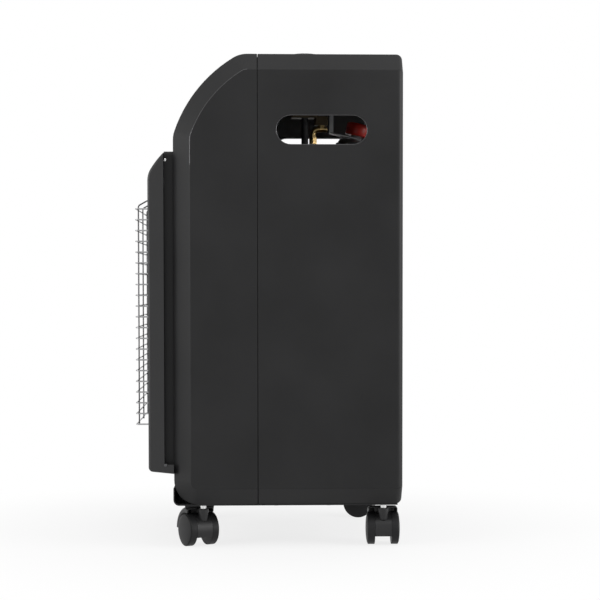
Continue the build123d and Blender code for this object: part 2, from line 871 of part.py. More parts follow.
def burner_box(x):
    """Open-fronted box with a flange, a ledge behind the plaques and a hole for the mixing tube."""
    with BuildPart() as box:
        with BuildSketch(Plane.XZ.offset(-face_y)):
            with Locations((x, burner_z)):
                Rectangle(2 * box_half_width, 2 * box_half_height)
        extrude(amount=-burner_box_depth)
        fillet(box.edges().group_by(Axis.Y)[-1], burner_box_radius)
        with BuildSketch(Plane.XZ.offset(-face_y)):
            with Locations((x, burner_z)):
                Rectangle(burner_box_width, 2 * box_half_height + burner_box_width - 2 * box_half_width)
        extrude(amount=-burner_flange)
        with BuildSketch(Plane.XZ.offset(-face_y)):
            with Locations((x, burner_z)):
                Rectangle(plaque_width + 2 * plaque_fit, plaque_pair_height + 2 * plaque_fit)
        extrude(amount=face_y - plaque_back_y, mode=Mode.SUBTRACT)
        with BuildSketch(Plane.XZ.offset(-face_y)):
            with Locations((x, burner_z)):
                Rectangle(plaque_width - 2 * plaque_ledge, plaque_pair_height - 2 * plaque_ledge)
        extrude(amount=burner_sheet - burner_box_depth, mode=Mode.SUBTRACT)
        with BuildSketch(Plane.XY.offset(burner_z - box_half_height)):
            with Locations((x, tube_y)):
                Circle(mixing_tube_diameter / 2)
        extrude(amount=plaque_pair_height / 2, mode=Mode.SUBTRACT)
    return box.part


def plaque_pair(x):
    """Two square ceramic plaques, one above the other, with scored faces."""
    with BuildPart() as pair:
        for side in (1, -1):
            with BuildSketch(Plane.XZ.offset(plaque_proud - face_y)):
                with Locations((x, burner_z + side * (plaque_height + plaque_joint) / 2)):
                    Rectangle(plaque_width, plaque_height)
            extrude(amount=-plaque_thickness)
        chamfer(pair.faces().group_by(Axis.Y)[0].edges(), plaque_edge)
        with BuildSketch(Plane.XZ.offset(plaque_proud - face_y)):
            for side in (1, -1):
                with Locations((x, burner_z + side * (plaque_height + plaque_joint) / 2)):
                    with GridLocations(plaque_score_pitch, 0, plaque_scores, 1):
                        Rectangle(plaque_score_width, plaque_height - 2 * plaque_margin)
        extrude(amount=-plaque_score_depth, mode=Mode.SUBTRACT)
    return pair.part


def mixing_tube():
    """Upright tube into a box's floor, flared at its lower end where gas and air enter."""
    top = burner_z - box_half_height + burner_sheet
    bottom = burner_z - box_half_height - mixing_tube_length
    outer = mixing_tube_diameter / 2
    bell = bell_diameter / 2
    with BuildPart() as tube:
        with BuildSketch(Plane.XZ):
            with BuildLine():
                Polyline(
                    (outer - mixing_tube_wall, top), (outer, top), (outer, bottom + bell_height), (bell, bottom),
                    (bell - mixing_tube_wall, bottom), (outer - mixing_tube_wall, bottom + bell_height),
                    close=True,
                )
            make_face()
        revolve(axis=Axis.Z)
    return tube.part


burner_names = ("left", "middle", "right")
for burner_name, burner_x in zip(burner_names, burner_xs()):
    save(burner_box(burner_x), f"burner_box_{burner_name}")
    save(plaque_pair(burner_x), f"plaques_{burner_name}")

with BuildPart() as mixing_tubes:
    with Locations(*[(x, tube_y, 0) for x in burner_xs()]):
        add(mixing_tube())
save(mixing_tubes.part, "mixing_tubes")

# ---------------------------------------------------------------------------------------------
# Gas manifold, jets and supply pipe
# ---------------------------------------------------------------------------------------------
manifold_y = face_y + manifold_depth
boss_top = manifold_height + manifold_diameter / 2 + jet_boss_height
with BuildPart() as gas_manifold:
    with BuildSketch(Plane.YZ):
        with Locations((manifold_y, manifold_height)):
            Circle(manifold_diameter / 2)
    extrude(amount=manifold_length / 2, both=True)
    with BuildSketch(Plane.XY.offset(manifold_height)):
        with Locations(*[(x, tube_y) for x in burner_xs()]):
            Circle(jet_boss_diameter / 2)
    extrude(amount=boss_top - manifold_height)
    # gas way along the pipe, and up each boss
    with BuildSketch(Plane.YZ.offset(manifold_length / 2)):
        with Locations((manifold_y, manifold_height)):
            Circle(supply_bore / 2)
    extrude(amount=manifold_wall - manifold_length, mode=Mode.SUBTRACT)
    with BuildSketch(Plane.XY.offset(manifold_height)):
        with Locations(*[(x, tube_y) for x in burner_xs()]):
            Circle(jet_bore)
    extrude(amount=boss_top - manifold_height, mode=Mode.SUBTRACT)
save(gas_manifold.part, "gas_manifold")

with BuildPart() as jets:
    with BuildSketch(Plane.XY.offset(boss_top)):
        with Locations(*[(x, tube_y) for x in burner_xs()]):
            RegularPolygon(jet_hex / 2, 6, major_radius=False)
    extrude(amount=jet_length)
    chamfer(jets.faces().group_by(Axis.Z)[-1].edges(), jet_bore)
    with BuildSketch(Plane.XY.offset(boss_top)):
        with Locations(*[(x, tube_y) for x in burner_xs()]):
            Circle(jet_bore / 2)
    extrude(amount=jet_length, mode=Mode.SUBTRACT)
save(jets.part, "jets")

supply_y = control_y + supply_behind_knob
supply_x = half_width - supply_from_side
with BuildPart() as supply_pipe:
    with BuildLine():
        supply_path = FilletPolyline(
            (0, supply_y, valve_bottom + supply_insert),
            (0, supply_y, supply_crossing_height),
            (0, manifold_y, supply_crossing_height),
            (supply_x, manifold_y, supply_crossing_height),
            (supply_x, manifold_y, manifold_height),
            (manifold_length / 2, manifold_y, manifold_height),
            radius=supply_bend,
        )
    with BuildSketch(Plane(origin=supply_path @ 0, z_dir=supply_path % 0)):
        Circle(supply_diameter / 2)
        Circle(supply_bore / 2, mode=Mode.SUBTRACT)
    sweep(path=supply_path)
save(supply_pipe.part, "supply_pipe")

with BuildPart() as manifold_brackets:
    for x in (-bracket_x, bracket_x):
        with BuildSketch(Plane.XY.offset(manifold_height - bracket_width / 2)):
            with Locations((x, manifold_y + manifold_diameter / 2)):
                Rectangle(bracket_width, shield_y - manifold_y - manifold_diameter / 2,
                          align=(Align.CENTER, Align.MIN))
        extrude(amount=bracket_width)
    with BuildSketch(Plane.YZ):
        with Locations((manifold_y, manifold_height)):
            Circle(manifold_diameter / 2)
    extrude(amount=manifold_length / 2, both=True, mode=Mode.SUBTRACT)
save(manifold_brackets.part, "manifold_brackets")

# ---------------------------------------------------------------------------------------------
# Pilot: bracket, pilot burner, spark electrode and thermocouple
# ---------------------------------------------------------------------------------------------
pilot_face_y = face_y - reflector_sheet
pilot_y = pilot_face_y - pilot_reach
pilot_base = reflector_throat_bottom + pilot_lift
pilot_holes = {
    "pilot_burner": (pilot_x - pilot_spacing, pilot_diameter),
    "spark_electrode": (pilot_x, electrode_diameter),
    "thermocouple": (pilot_x + pilot_spacing, thermocouple_diameter),
}
with BuildPart() as pilot_bracket:
    with BuildSketch(Plane.YZ.offset(pilot_x)):
        with BuildLine():
            Polyline(
                (pilot_face_y, pilot_base - sheet), (pilot_face_y - pilot_shelf, pilot_base - sheet),
                (pilot_face_y - pilot_shelf, pilot_base), (pilot_face_y - sheet, pilot_base),
                (pilot_face_y - sheet, pilot_base + pilot_upstand), (pilot_face_y, pilot_base + pilot_upstand),
                close=True,
            )
        make_face()
    extrude(amount=pilot_bracket_width / 2, both=True)
    with BuildSketch(Plane.XY.offset(pilot_base)):
        for x, diameter in pilot_holes.values():
            with Locations((x, pilot_y)):
                Circle(diameter / 2)
    extrude(amount=2 * sheet, both=True, mode=Mode.SUBTRACT)
save(pilot_bracket.part, "pilot_bracket")

with BuildPart() as pilot_burner:
    add(tube_between(pilot_holes["pilot_burner"][0], pilot_y, pilot_base - pilot_drop, pilot_base + pilot_rise,
                     pilot_diameter))
    with BuildSketch(Plane.XY.offset(pilot_base + pilot_rise)):
        with Locations((pilot_holes["pilot_burner"][0], pilot_y)):
            Circle(pilot_diameter / 2 - sheet)
    extrude(amount=-pilot_rise, mode=Mode.SUBTRACT)
save(pilot_burner.part, "pilot_burner")

with BuildPart() as spark_electrode:
    add(tube_between(pilot_x, pilot_y, pilot_base - pilot_drop, pilot_base + pilot_rise, electrode_diameter))
    chamfer(spark_electrode.faces().sort_by(Axis.Z)[-1].edges(), electrode_nose)
    add(tube_between(pilot_x, pilot_y, pilot_base, pilot_base + pilot_rise + electrode_rod_rise, electrode_rod))
save(spark_electrode.part, "spark_electrode")

with BuildPart() as thermocouple:
    add(tube_between(pilot_holes["thermocouple"][0], pilot_y, pilot_base - pilot_drop,
                     pilot_base + thermocouple_rise, thermocouple_diameter))
    chamfer(thermocouple.faces().sort_by(Axis.Z)[-1].edges(), thermocouple_tip)
save(thermocouple.part, "thermocouple")

# ---------------------------------------------------------------------------------------------
# Gas valve under the top, with a plunger and a spindle that carries the knob
# ---------------------------------------------------------------------------------------------
plate_top = cabinet_top + control_plate_thickness
knob_bottom = plate_top + knob_lift
knob_top = knob_bottom + knob_height
spindle_top = knob_bottom + knob_grip
spindle_bottom = spindle_top - spindle_length
plunger_bottom = spindle_bottom - plunger_length
spindle_seat = spindle_bottom - knob_travel - travel_spare
plunger_seat = plunger_bottom - knob_travel - travel_spare
inlet_y = supply_y + inlet_behind_supply
spigot_y = inlet_y + inlet_spigot_offset
lug_top = valve_bottom + 2 * sheet
lug_bottom = inlet_height + inlet_diameter / 2 + inlet_shoulder
with BuildPart() as gas_valve:
    with BuildSketch(Plane.XY.offset(valve_bottom)):
        with Locations((0, control_y)):
            Rectangle(valve_width, valve_length)
    extrude(amount=valve_top - valve_bottom)
    fillet(gas_valve.edges().filter_by(Axis.Z), valve_corner_radius)
    with BuildSketch(Plane.XY.offset(valve_top)):
        with Locations((0, control_y)):
            Circle(valve_neck_diameter / 2)
    extrude(amount=top_inside - valve_top)
    with BuildSketch(Plane.XY.offset(lug_bottom)):
        with Locations((0, spigot_y)):
            RectangleRounded(valve_lug_width, valve_lug_length, valve_corner_radius)
    extrude(amount=lug_top - lug_bottom)
    with BuildSketch(Plane.XY.offset(top_inside)):
        with Locations((0, control_y)):
            Circle(spindle_diameter / 2 + spindle_fit)
    extrude(amount=spindle_seat - top_inside, mode=Mode.SUBTRACT)
    with BuildSketch(Plane.XY.offset(spindle_seat)):
        with Locations((0, control_y)):
            Circle(plunger_diameter / 2 + spindle_fit)
    extrude(amount=plunger_seat - spindle_seat, mode=Mode.SUBTRACT)
    with BuildSketch(Plane.XY.offset(valve_bottom)):
        with Locations((0, supply_y)):
            Circle(supply_diameter / 2 + spindle_fit)
    extrude(amount=supply_insert, mode=Mode.SUBTRACT)
    with BuildSketch(Plane.XY.offset(lug_bottom)):
        with Locations((0, spigot_y)):
            Circle(inlet_spigot_diameter / 2 + spindle_fit)
    extrude(amount=inlet_spigot_length, mode=Mode.SUBTRACT)
save(gas_valve.part, "gas_valve")

save(tube_between(0, control_y, plunger_bottom, spindle_bottom, plunger_diameter), "valve_plunger")


def flatted_round(radius, flat):
    """Round section with a flat on its -Y side, the flat cut in by flat."""
    Circle(radius)
    with Locations((0, -radius)):
        Rectangle(2 * radius, 2 * flat, mode=Mode.SUBTRACT)


with BuildPart() as valve_spindle:
    add(tube_between(0, control_y, spindle_bottom, spindle_top, spindle_diameter))
    with BuildSketch(Plane.XY.offset(knob_bottom)):
        with Locations((0, control_y - spindle_diameter / 2)):
            Rectangle(spindle_diameter, 2 * spindle_flat)
    extrude(amount=knob_grip, mode=Mode.SUBTRACT)
    chamfer(valve_spindle.faces().sort_by(Axis.Z)[-1].edges(), spindle_chamfer)
save(valve_spindle.part, "valve_spindle")

with BuildPart() as control_knob:
    with BuildSketch(Plane.XY.offset(knob_bottom)):
        Circle(knob_diameter / 2)
    extrude(amount=knob_height)
    chamfer(control_knob.faces().sort_by(Axis.Z)[-1].edges(), knob_edge)
    with BuildSketch(Plane.XY.offset(knob_bottom)):
        with PolarLocations(knob_diameter / 2 + knob_flute_radius - knob_flute_depth, knob_flutes, start_angle=90):
            Circle(knob_flute_radius)
    extrude(amount=knob_height, mode=Mode.SUBTRACT)
    # hollow underneath, round the hub
    with BuildSketch(Plane.XY.offset(knob_bottom)):
        Circle(knob_diameter / 2 - knob_rim)
        Circle(knob_hub_diameter / 2, mode=Mode.SUBTRACT)
    extrude(amount=knob_grip, mode=Mode.SUBTRACT)
    with BuildSketch(Plane.XY.offset(knob_bottom)):
        flatted_round(spindle_diameter / 2 + spindle_fit, spindle_flat)
    extrude(amount=knob_grip, mode=Mode.SUBTRACT)
    # pointer groove towards the burner
    with BuildSketch(Plane.XY.offset(knob_top)):
        with Locations((0, -knob_pointer_length / 2 - knob_pointer_width)):
            Rectangle(knob_pointer_width, knob_pointer_length)
    extrude(amount=-knob_pointer_depth, mode=Mode.SUBTRACT)
save(Location((0, control_y, 0)) * control_knob.part, "control_knob")

with BuildPart() as control_plate:
    with BuildSketch(Plane.XY.offset(cabinet_top)):
        with Locations((0, control_y)):
            RectangleRounded(control_plate_length, control_plate_width, control_plate_corner)
    extrude(amount=control_plate_thickness)
    chamfer(control_plate.faces().sort_by(Axis.Z)[-1].edges(), control_plate_edge)
    with BuildSketch(Plane.XY.offset(cabinet_top)):
        with Locations((0, control_y)):
            Circle(spindle_diameter)
        with Locations((igniter_offset, control_y)):
            Circle(igniter_diameter / 2 + button_fit)
    extrude(amount=control_plate_thickness, mode=Mode.SUBTRACT)
save(control_plate.part, "control_plate")

# ---------------------------------------------------------------------------------------------
# Push-button igniter
# ---------------------------------------------------------------------------------------------
igniter_top = plate_top + igniter_flange_thickness
button_low = igniter_top - button_insert
with BuildPart() as igniter_body:
    add(tube_between(igniter_offset, control_y, igniter_top - igniter_length, plate_top, igniter_diameter))
    add(tube_between(igniter_offset, control_y, plate_top, igniter_top, igniter_flange_diameter))
    chamfer(igniter_body.faces().sort_by(Axis.Z)[-1].edges(), igniter_flange_edge)
    with BuildSketch(Plane.XY.offset(igniter_top)):
        with Locations((igniter_offset, control_y)):
            Circle(button_diameter / 2 + button_fit)
    extrude(amount=-button_insert - button_travel - travel_spare, mode=Mode.SUBTRACT)
    with BuildSketch(Plane.XY.offset(igniter_top - igniter_length)):
        with Locations((igniter_offset, control_y)):
            Rectangle(spade_width, spade_thickness)
    extrude(amount=-spade_length)
save(igniter_body.part, "igniter_body")

with BuildPart() as igniter_button:
    add(tube_between(igniter_offset, control_y, button_low, igniter_top + button_height, button_diameter))
    chamfer(igniter_button.faces().sort_by(Axis.Z)[-1].edges(), button_edge)
save(igniter_button.part, "igniter_button")

# ---------------------------------------------------------------------------------------------
# Gas inlet elbow and the hose nut below it
# ---------------------------------------------------------------------------------------------
with BuildPart() as inlet_elbow:
    with BuildLine():
        elbow_path = FilletPolyline(
            (0, inlet_y + inlet_reach, inlet_height), (0, inlet_y, inlet_height), (0, inlet_y, nut_top),
            radius=inlet_bend,
        )
    with BuildSketch(Plane(origin=elbow_path @ 0, z_dir=elbow_path % 0)):
        Circle(inlet_diameter / 2)
    sweep(path=elbow_path)
    chamfer(inlet_elbow.faces().sort_by(Axis.Y)[-1].edges(), inlet_shoulder)
    add(tube_between(0, spigot_y, inlet_height, lug_bottom, inlet_shoulder_diameter))
    add(tube_between(0, spigot_y, inlet_height, lug_bottom + inlet_spigot_length, inlet_spigot_diameter))
save(inlet_elbow.part, "inlet_elbow")

nut_bottom = nut_top - hose_nut_height
with BuildPart() as hose_nut:
    with BuildSketch(Plane.XY.offset(nut_bottom)):
        with Locations((0, inlet_y)):
            RegularPolygon(hose_nut_hex / 2, 6, major_radius=False)
    extrude(amount=hose_nut_height)
    chamfer(hose_nut.faces().sort_by(Axis.Z)[-1].edges(), nut_chamfer)
    chamfer(hose_nut.faces().sort_by(Axis.Z)[0].edges(), nut_chamfer)
save(hose_nut.part, "hose_nut")

# ---------------------------------------------------------------------------------------------
# Bottle regulator, hung on a strap from the top of the bottle bay
# ---------------------------------------------------------------------------------------------
tilt = radians(regulator_tilt)
regulator_plane = Plane(
    origin=(regulator_x, face_y + regulator_depth, regulator_height),
    x_dir=(1, 0, 0), z_dir=(0, sin(tilt), cos(tilt)),
)
body_top = lever_lift - regulator_neck_height
body_low = body_top - regulator_body_height
tail_direction = (cos(radians(tail_angle)), sin(radians(tail_angle)), 0)
with BuildPart() as regulator_body:
    with BuildSketch(Plane.XY.offset(body_low)):
        Circle(regulator_diameter / 2)
    extrude(amount=regulator_body_height)
    chamfer(regulator_body.faces().sort_by(Axis.Z)[-1].edges(), regulator_shoulder)
    chamfer(regulator_body.faces().sort_by(Axis.Z)[0].edges(), regulator_low_edge)
    # clamped rim round the diaphragm chamber
    with BuildSketch(Plane.XY.offset(body_low + regulator_rim_height)):
        Circle(regulator_diameter / 2 + regulator_rim_reach)
    extrude(amount=regulator_rim_thickness)
    with BuildSketch(Plane.XY.offset(body_top)):
        Circle(regulator_neck / 2)
    extrude(amount=regulator_neck_height)
    with BuildSketch(Plane(origin=(0, 0, tail_height), x_dir=(0, 0, 1), z_dir=tail_direction)):
        Circle(tail_diameter / 2)
    extrude(amount=hose_start_reach)
save(regulator_plane.location * regulator_body.part, "regulator_body")

with BuildPart() as regulator_lever:
    with BuildSketch(Plane.XY.offset(lever_lift)):
        Circle(lever_diameter / 2)
    extrude(amount=lever_height)
    chamfer(regulator_lever.faces().sort_by(Axis.Z)[-1].edges(), lever_edge)
    # finger bar left standing across the top
    with BuildSketch(Plane.XY.offset(lever_lift + lever_height)):
        for side in (1, -1):
            with Locations((0, side * (lever_bar_width / 2 + lever_diameter / 4))):
                Rectangle(lever_diameter, lever_diameter / 2)
    extrude(amount=-lever_bar_height, mode=Mode.SUBTRACT)
save(regulator_plane.location * regulator_lever.part, "regulator_lever")

coupling_low = body_low - coupling_height
with BuildPart() as bottle_coupling:
    with BuildSketch(Plane.XY.offset(coupling_low)):
        Circle(coupling_diameter / 2)
    extrude(amount=coupling_height)
    with BuildSketch(Plane.XY.offset(coupling_low + coupling_groove_height)):
        Circle(coupling_diameter / 2)
        Circle(coupling_diameter / 2 - coupling_groove_depth, mode=Mode.SUBTRACT)
    extrude(amount=coupling_groove_width, mode=Mode.SUBTRACT)
    with BuildSketch(Plane.XY.offset(coupling_low)):
        Circle(coupling_bore / 2)
    extrude(amount=coupling_bore_depth, mode=Mode.SUBTRACT)
save(regulator_plane.location * bottle_coupling.part, "bottle_coupling")

hanger_y = face_y + hanger_depth - regulator_plane.origin.Y
hanger_fold = hanger_y / cos(tilt)
with BuildPart() as regulator_hanger:
    # fork round the regulator's neck
    with BuildSketch(Plane.XY.offset(hanger_fork_height)):
        with BuildLine():
            fork = Polyline(
                (-hanger_width / 2, hanger_fold), (-hanger_width / 2 - hanger_fork_arm, -regulator_neck),
                (-hanger_width / 2 - hanger_fork_arm, regulator_neck / 2),
                (hanger_width / 2 + hanger_fork_arm, regulator_neck / 2),
                (hanger_width / 2 + hanger_fork_arm, -regulator_neck), (hanger_width / 2, hanger_fold),
                close=True,
            )
        make_face()
        with Locations((0, regulator_neck / 4)):
            Rectangle(regulator_neck + 2 * hanger_fit, regulator_neck / 2, mode=Mode.SUBTRACT)
        Circle(regulator_neck / 2 + hanger_fit, mode=Mode.SUBTRACT)
    extrude(amount=hanger_thickness)
fork_part = regulator_plane.location * regulator_hanger.part
strap_y = face_y + hanger_depth
with BuildPart() as hanger_strap:
    with BuildSketch(Plane.XY.offset(hanger_low)):
        with Locations((regulator_x, strap_y)):
            Rectangle(hanger_width, hanger_channel_depth)
            with Locations((0, hanger_thickness)):
                Rectangle(hanger_width - 2 * hanger_thickness, hanger_channel_depth, mode=Mode.SUBTRACT)
    extrude(amount=top_inside - hanger_low)
    with BuildSketch(Plane.XY.offset(top_inside)):
        with Locations((regulator_x, strap_y + hanger_foot_length / 2 - hanger_channel_depth / 2)):
            Rectangle(hanger_width, hanger_foot_length)
    extrude(amount=-hanger_thickness)
    add(fork_part)
save(hanger_strap.part, "regulator_hanger")

# ---------------------------------------------------------------------------------------------
# Gas hose from the regulator's tail down round the bay and up to the inlet, with its clamp
# ---------------------------------------------------------------------------------------------
hose_start = regulator_plane.from_local_coords(
    (hose_start_reach * tail_direction[0], hose_start_reach * tail_direction[1], tail_height)
)
hose_run = regulator_plane.from_local_coords(
    ((hose_start_reach + hose_first_run) * tail_direction[0],
     (hose_start_reach + hose_first_run) * tail_direction[1], tail_height)
)
hose_points = [
    hose_start, hose_run, *[Vector(x, face_y + depth, z) for x, depth, z in hose_corners],
    Vector(0, inlet_y, nut_bottom),
]


def bend_radii(points):
    """Radius of each bend: its tangent length is a set share of the shorter run beside it."""
    radii = []
    for before, here, after in zip(points, points[1:], points[2:]):
        run_in = here - before
        run_out = after - here
        half_turn = radians(run_in.get_angle(run_out)) / 2
        radii.append(hose_tangent_share * min(run_in.length, run_out.length) / tan(half_turn))
    return radii


hose_radii = bend_radii(hose_points)
with BuildPart() as gas_hose:
    with BuildLine():
        hose_path = FilletPolyline(*hose_points, radius=hose_radii)
    with BuildSketch(Plane(origin=hose_path @ 0, z_dir=hose_path % 0)):
        Circle(hose_diameter / 2)
    sweep(path=hose_path)
save(gas_hose.part, "gas_hose")
print("hose length", round(hose_path.length, 1), "radii in diameters",
      [round(r / hose_diameter, 1) for r in hose_radii])
print("hose volume over section times length",
      round(gas_hose.part.volume / (hose_path.length * pi * hose_diameter**2 / 4), 4))

clamp_plane = Plane(
    origin=hose_start + (hose_run - hose_start).normalized() * clamp_set_back,
    x_dir=(0, sin(tilt), cos(tilt)), z_dir=hose_run - hose_start,
)
clamp_outer = hose_diameter / 2 + clamp_fit + clamp_band
with BuildPart() as hose_clamp:
    with BuildSketch():
        Circle(clamp_outer)
        for side in (1, -1):
            with Locations(Location((clamp_outer - clamp_band, side * clamp_ear_spread), side * clamp_ear_angle)):
                Rectangle(clamp_ear_length, clamp_band, align=(Align.MIN, Align.CENTER))
        Circle(hose_diameter / 2 + clamp_fit, mode=Mode.SUBTRACT)
    extrude(amount=clamp_width / 2, both=True)
save(clamp_plane.location * hose_clamp.part, "hose_clamp")

# ---------------------------------------------------------------------------------------------
# Castors: sockets in the base, stems, and a hood with a wheel on each side of its web
# ---------------------------------------------------------------------------------------------
wheel_radius = wheel_diameter / 2
web_half = wheels_inner_gap / 2 - web_clearance
stem_bottom = castor_height - stem_bore_depth + travel_spare
stem_top = floor_inside + stem_above_floor
with BuildPart() as castor_sockets:
    with BuildSketch(Plane.XY.offset(tray_bottom)):
        with Locations(*stem_places.values()):
            Circle(socket_diameter / 2 - socket_fit)
    extrude(amount=stem_top - tray_bottom)
    with BuildSketch(Plane.XY.offset(tray_bottom)):
        with Locations(*stem_places.values()):
            Circle(stem_diameter / 2 + stem_fit)
    extrude(amount=stem_top - tray_bottom, mode=Mode.SUBTRACT)
save(castor_sockets.part, "castor_sockets")

with BuildPart() as castor_stems:
    with BuildSketch(Plane.XY.offset(stem_bottom)):
        with Locations(*stem_places.values()):
            Circle(stem_diameter / 2)
    extrude(amount=stem_top - stem_bottom)
    chamfer(castor_stems.faces().filter_by(Axis.Z).edges(), stem_chamfer)
save(castor_stems.part, "castor_stems")


def castor_hood():
    """Web, fender and boss, with the stem on the Z axis and the wheels trailing towards +X."""
    wheel_centre = (castor_trail, wheel_radius)
    inner = wheel_radius + hood_gap
    sweep_angle = hood_high_angle - hood_low_angle
    with BuildPart() as hood:
        with BuildSketch(Plane.XZ):
            with BuildLine():
                low_arc = CenterArc(wheel_centre, inner, hood_low_angle, sweep_angle)
                high_arc = CenterArc(wheel_centre, inner + hood_wall, hood_low_angle, sweep_angle)
                Line(low_arc @ 0, high_arc @ 0)
                Line(low_arc @ 1, high_arc @ 1)
            make_face()
        extrude(amount=hood_reach, both=True)
        crown = [e for e in hood.edges().filter_by(GeomType.CIRCLE) if e.radius > inner + hood_wall / 2]
        chamfer(crown, hood_edge)
        # web between the wheels, cut off level above the floor and joined up to the fender
        with BuildSketch(Plane.XZ):
            with Locations(wheel_centre):
                Circle(web_radius)
            with BuildLine():
                Polyline(
                    wheel_centre, (castor_trail + inner + hood_wall / 2, wheel_radius),
                    (castor_trail, wheel_radius + inner + hood_wall / 2), close=True,
                )
            make_face()
            with Locations((castor_trail, web_floor_gap)):
                Rectangle(wheel_diameter, wheel_radius, align=(Align.CENTER, Align.MAX), mode=Mode.SUBTRACT)
        extrude(amount=web_half, both=True)
        with BuildSketch(Plane.XY.offset(boss_tip_height + boss_cone_height)):
            Circle(boss_diameter / 2)
        extrude(amount=castor_height - boss_tip_height - boss_cone_height)
        with BuildSketch(Plane.XZ):
            with BuildLine():
                Polyline(
                    (0, boss_tip_height), (boss_tip_diameter / 2, boss_tip_height),
                    (boss_diameter / 2, boss_tip_height + boss_cone_height),
                    (0, boss_tip_height + boss_cone_height), close=True,
                )
            make_face()
        revolve(axis=Axis.Z)
        with BuildSketch(Plane.XY.offset(castor_height)):
            Circle(stem_diameter / 2 + stem_fit)
        extrude(amount=-stem_bore_depth, mode=Mode.SUBTRACT)
        with BuildSketch(Plane.XZ):
            with Locations(wheel_centre):
                Circle(axle_diameter / 2 + axle_fit)
        extrude(amount=web_half, both=True, mode=Mode.SUBTRACT)
    return hood.part


def castor_axle():
    """Plain pin through the web and into both wheels."""
    with BuildPart() as axle:
        with BuildSketch(Plane.XZ):
            with Locations((castor_trail, wheel_radius)):
                Circle(axle_diameter / 2)
        extrude(amount=wheels_inner_gap / 2 + axle_depth_in_wheel - axle_end_gap, both=True)
    return axle.part


def castor_wheel(side):
    """One wheel, on the +Y or the -Y side of the web: a tread, a groove and a domed cap."""
    inside = wheels_inner_gap / 2
    outside = inside + wheel_width
    hole = axle_diameter / 2 + axle_fit
    cap = wheel_cap_diameter / 2
    groove = cap + wheel_groove_width
    with BuildPart() as wheel:
        with BuildSketch(Plane.YZ):
            with BuildLine():
                rim = Polyline(
                    (inside, hole), (inside, wheel_radius - wheel_inner_shoulder),
                    (inside + wheel_inner_shoulder, wheel_radius), (outside - wheel_shoulder, wheel_radius),
                    (outside, wheel_radius - wheel_shoulder), (outside, groove),
                    (outside - wheel_groove_depth, groove), (outside - wheel_groove_depth, cap),
                    (outside + wheel_cap_edge, cap),
                )
                dome_top = (outside + wheel_cap_edge + wheel_cap_dome, 0)
                dome_radius = (cap**2 + wheel_cap_dome**2) / (2 * wheel_cap_dome)
                dome = RadiusArc(rim @ 1, dome_top, dome_radius)
                Polyline(dome @ 1, (inside + axle_depth_in_wheel, 0), (inside + axle_depth_in_wheel, hole), rim @ 0)
            make_face()
        revolve(axis=Axis.Y)
    placed = Location((castor_trail, 0, wheel_radius)) * wheel.part
    return placed if side == 1 else mirror(placed, Plane.XZ)


for corner, heading in castor_headings.items():
    stem_x, stem_y = stem_places[corner]
    castor_place = Location((stem_x, stem_y, 0), (0, 0, heading))
    save(castor_place * castor_hood(), f"castor_hood_{corner}")
    save(castor_place * castor_axle(), f"castor_axle_{corner}")
    for side, wheel_name in ((1, "a"), (-1, "b")):
        save(castor_place * castor_wheel(side), f"castor_wheel_{corner}_{wheel_name}")
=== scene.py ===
"""Mobile cabinet gas heater: finishes, detailed pieces, studio light and camera.

Metres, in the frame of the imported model: +Z up, burner front to -Y, floor at Z = 0.
"""
from math import atan2, cos, degrees, radians, sin

import bmesh
import bpy
from mathutils import Matrix, Vector


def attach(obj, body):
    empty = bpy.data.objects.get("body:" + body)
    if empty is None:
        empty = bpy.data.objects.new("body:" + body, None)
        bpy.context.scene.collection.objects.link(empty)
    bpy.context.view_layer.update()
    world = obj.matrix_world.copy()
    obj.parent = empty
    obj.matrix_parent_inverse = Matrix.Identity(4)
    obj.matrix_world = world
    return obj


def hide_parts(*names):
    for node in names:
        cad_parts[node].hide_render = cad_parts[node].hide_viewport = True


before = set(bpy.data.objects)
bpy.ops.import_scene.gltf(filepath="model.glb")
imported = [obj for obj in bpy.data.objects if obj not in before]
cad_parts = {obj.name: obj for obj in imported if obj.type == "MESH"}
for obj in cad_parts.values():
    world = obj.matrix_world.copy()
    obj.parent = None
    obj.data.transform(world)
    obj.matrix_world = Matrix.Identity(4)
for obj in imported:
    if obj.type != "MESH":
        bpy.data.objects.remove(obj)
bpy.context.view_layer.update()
scene = bpy.context.scene
scene.view_settings.view_transform = "Standard"

# ------------------------------------------------------------------------------------------
# Places and sizes shared with the solids
# ------------------------------------------------------------------------------------------
face_y = -0.143
rear_y = 0.2005
half_width = 0.210
cabinet_top = 0.742
seam_width = 0.003
slot_y = rear_y - 0.1216
slot_z = cabinet_top - 0.1147
slot_end_radius = 0.0217
slot_half_run = 0.046

neck_depth = 0.014
neck_half_width = 0.181
bezel_depth = 0.024
bezel_back_y = face_y - neck_depth
bezel_face_y = bezel_back_y - bezel_depth
bezel_half_width = 0.195
neck_screw_place = (neck_half_width, bezel_back_y + 0.0016, 0.5843)
lip_screw_place = (bezel_half_width, bezel_back_y + 0.0018, 0.1266)

wire_radius = 0.0011
guard_stand_off = 0.0195
guard_y = bezel_face_y - guard_stand_off + wire_radius
guard_half_width = 0.181
guard_low = 0.1874
guard_pitch = 0.01618
guard_rows = 21

plate_thickness = 0.003
control_y = face_y + 0.2014
regulator_place = Vector((-0.040, face_y + 0.2865, 0.638))
regulator_tilt = radians(13)

wheel_radius = 0.025
castor_trail = 0.017
castor_places = {
    "front_right": (0.170, face_y + 0.043, 207),
    "rear_right": (0.170, rear_y - 0.0265, 180),
    "front_left": (-0.170, face_y + 0.043, 270),
    "rear_left": (-0.170, rear_y - 0.0265, 258),
}


# ------------------------------------------------------------------------------------------
# Camera
# ------------------------------------------------------------------------------------------
# Tip below level, roll, and turn off square are in degrees.
camera_place = (2.810, -0.0119, 0.3963)
camera_tip = 2.5445
camera_roll = 0.0209
camera_turn = 2.1266
camera_lens = 104.604
camera_shift = (-0.0428, 0.1048)


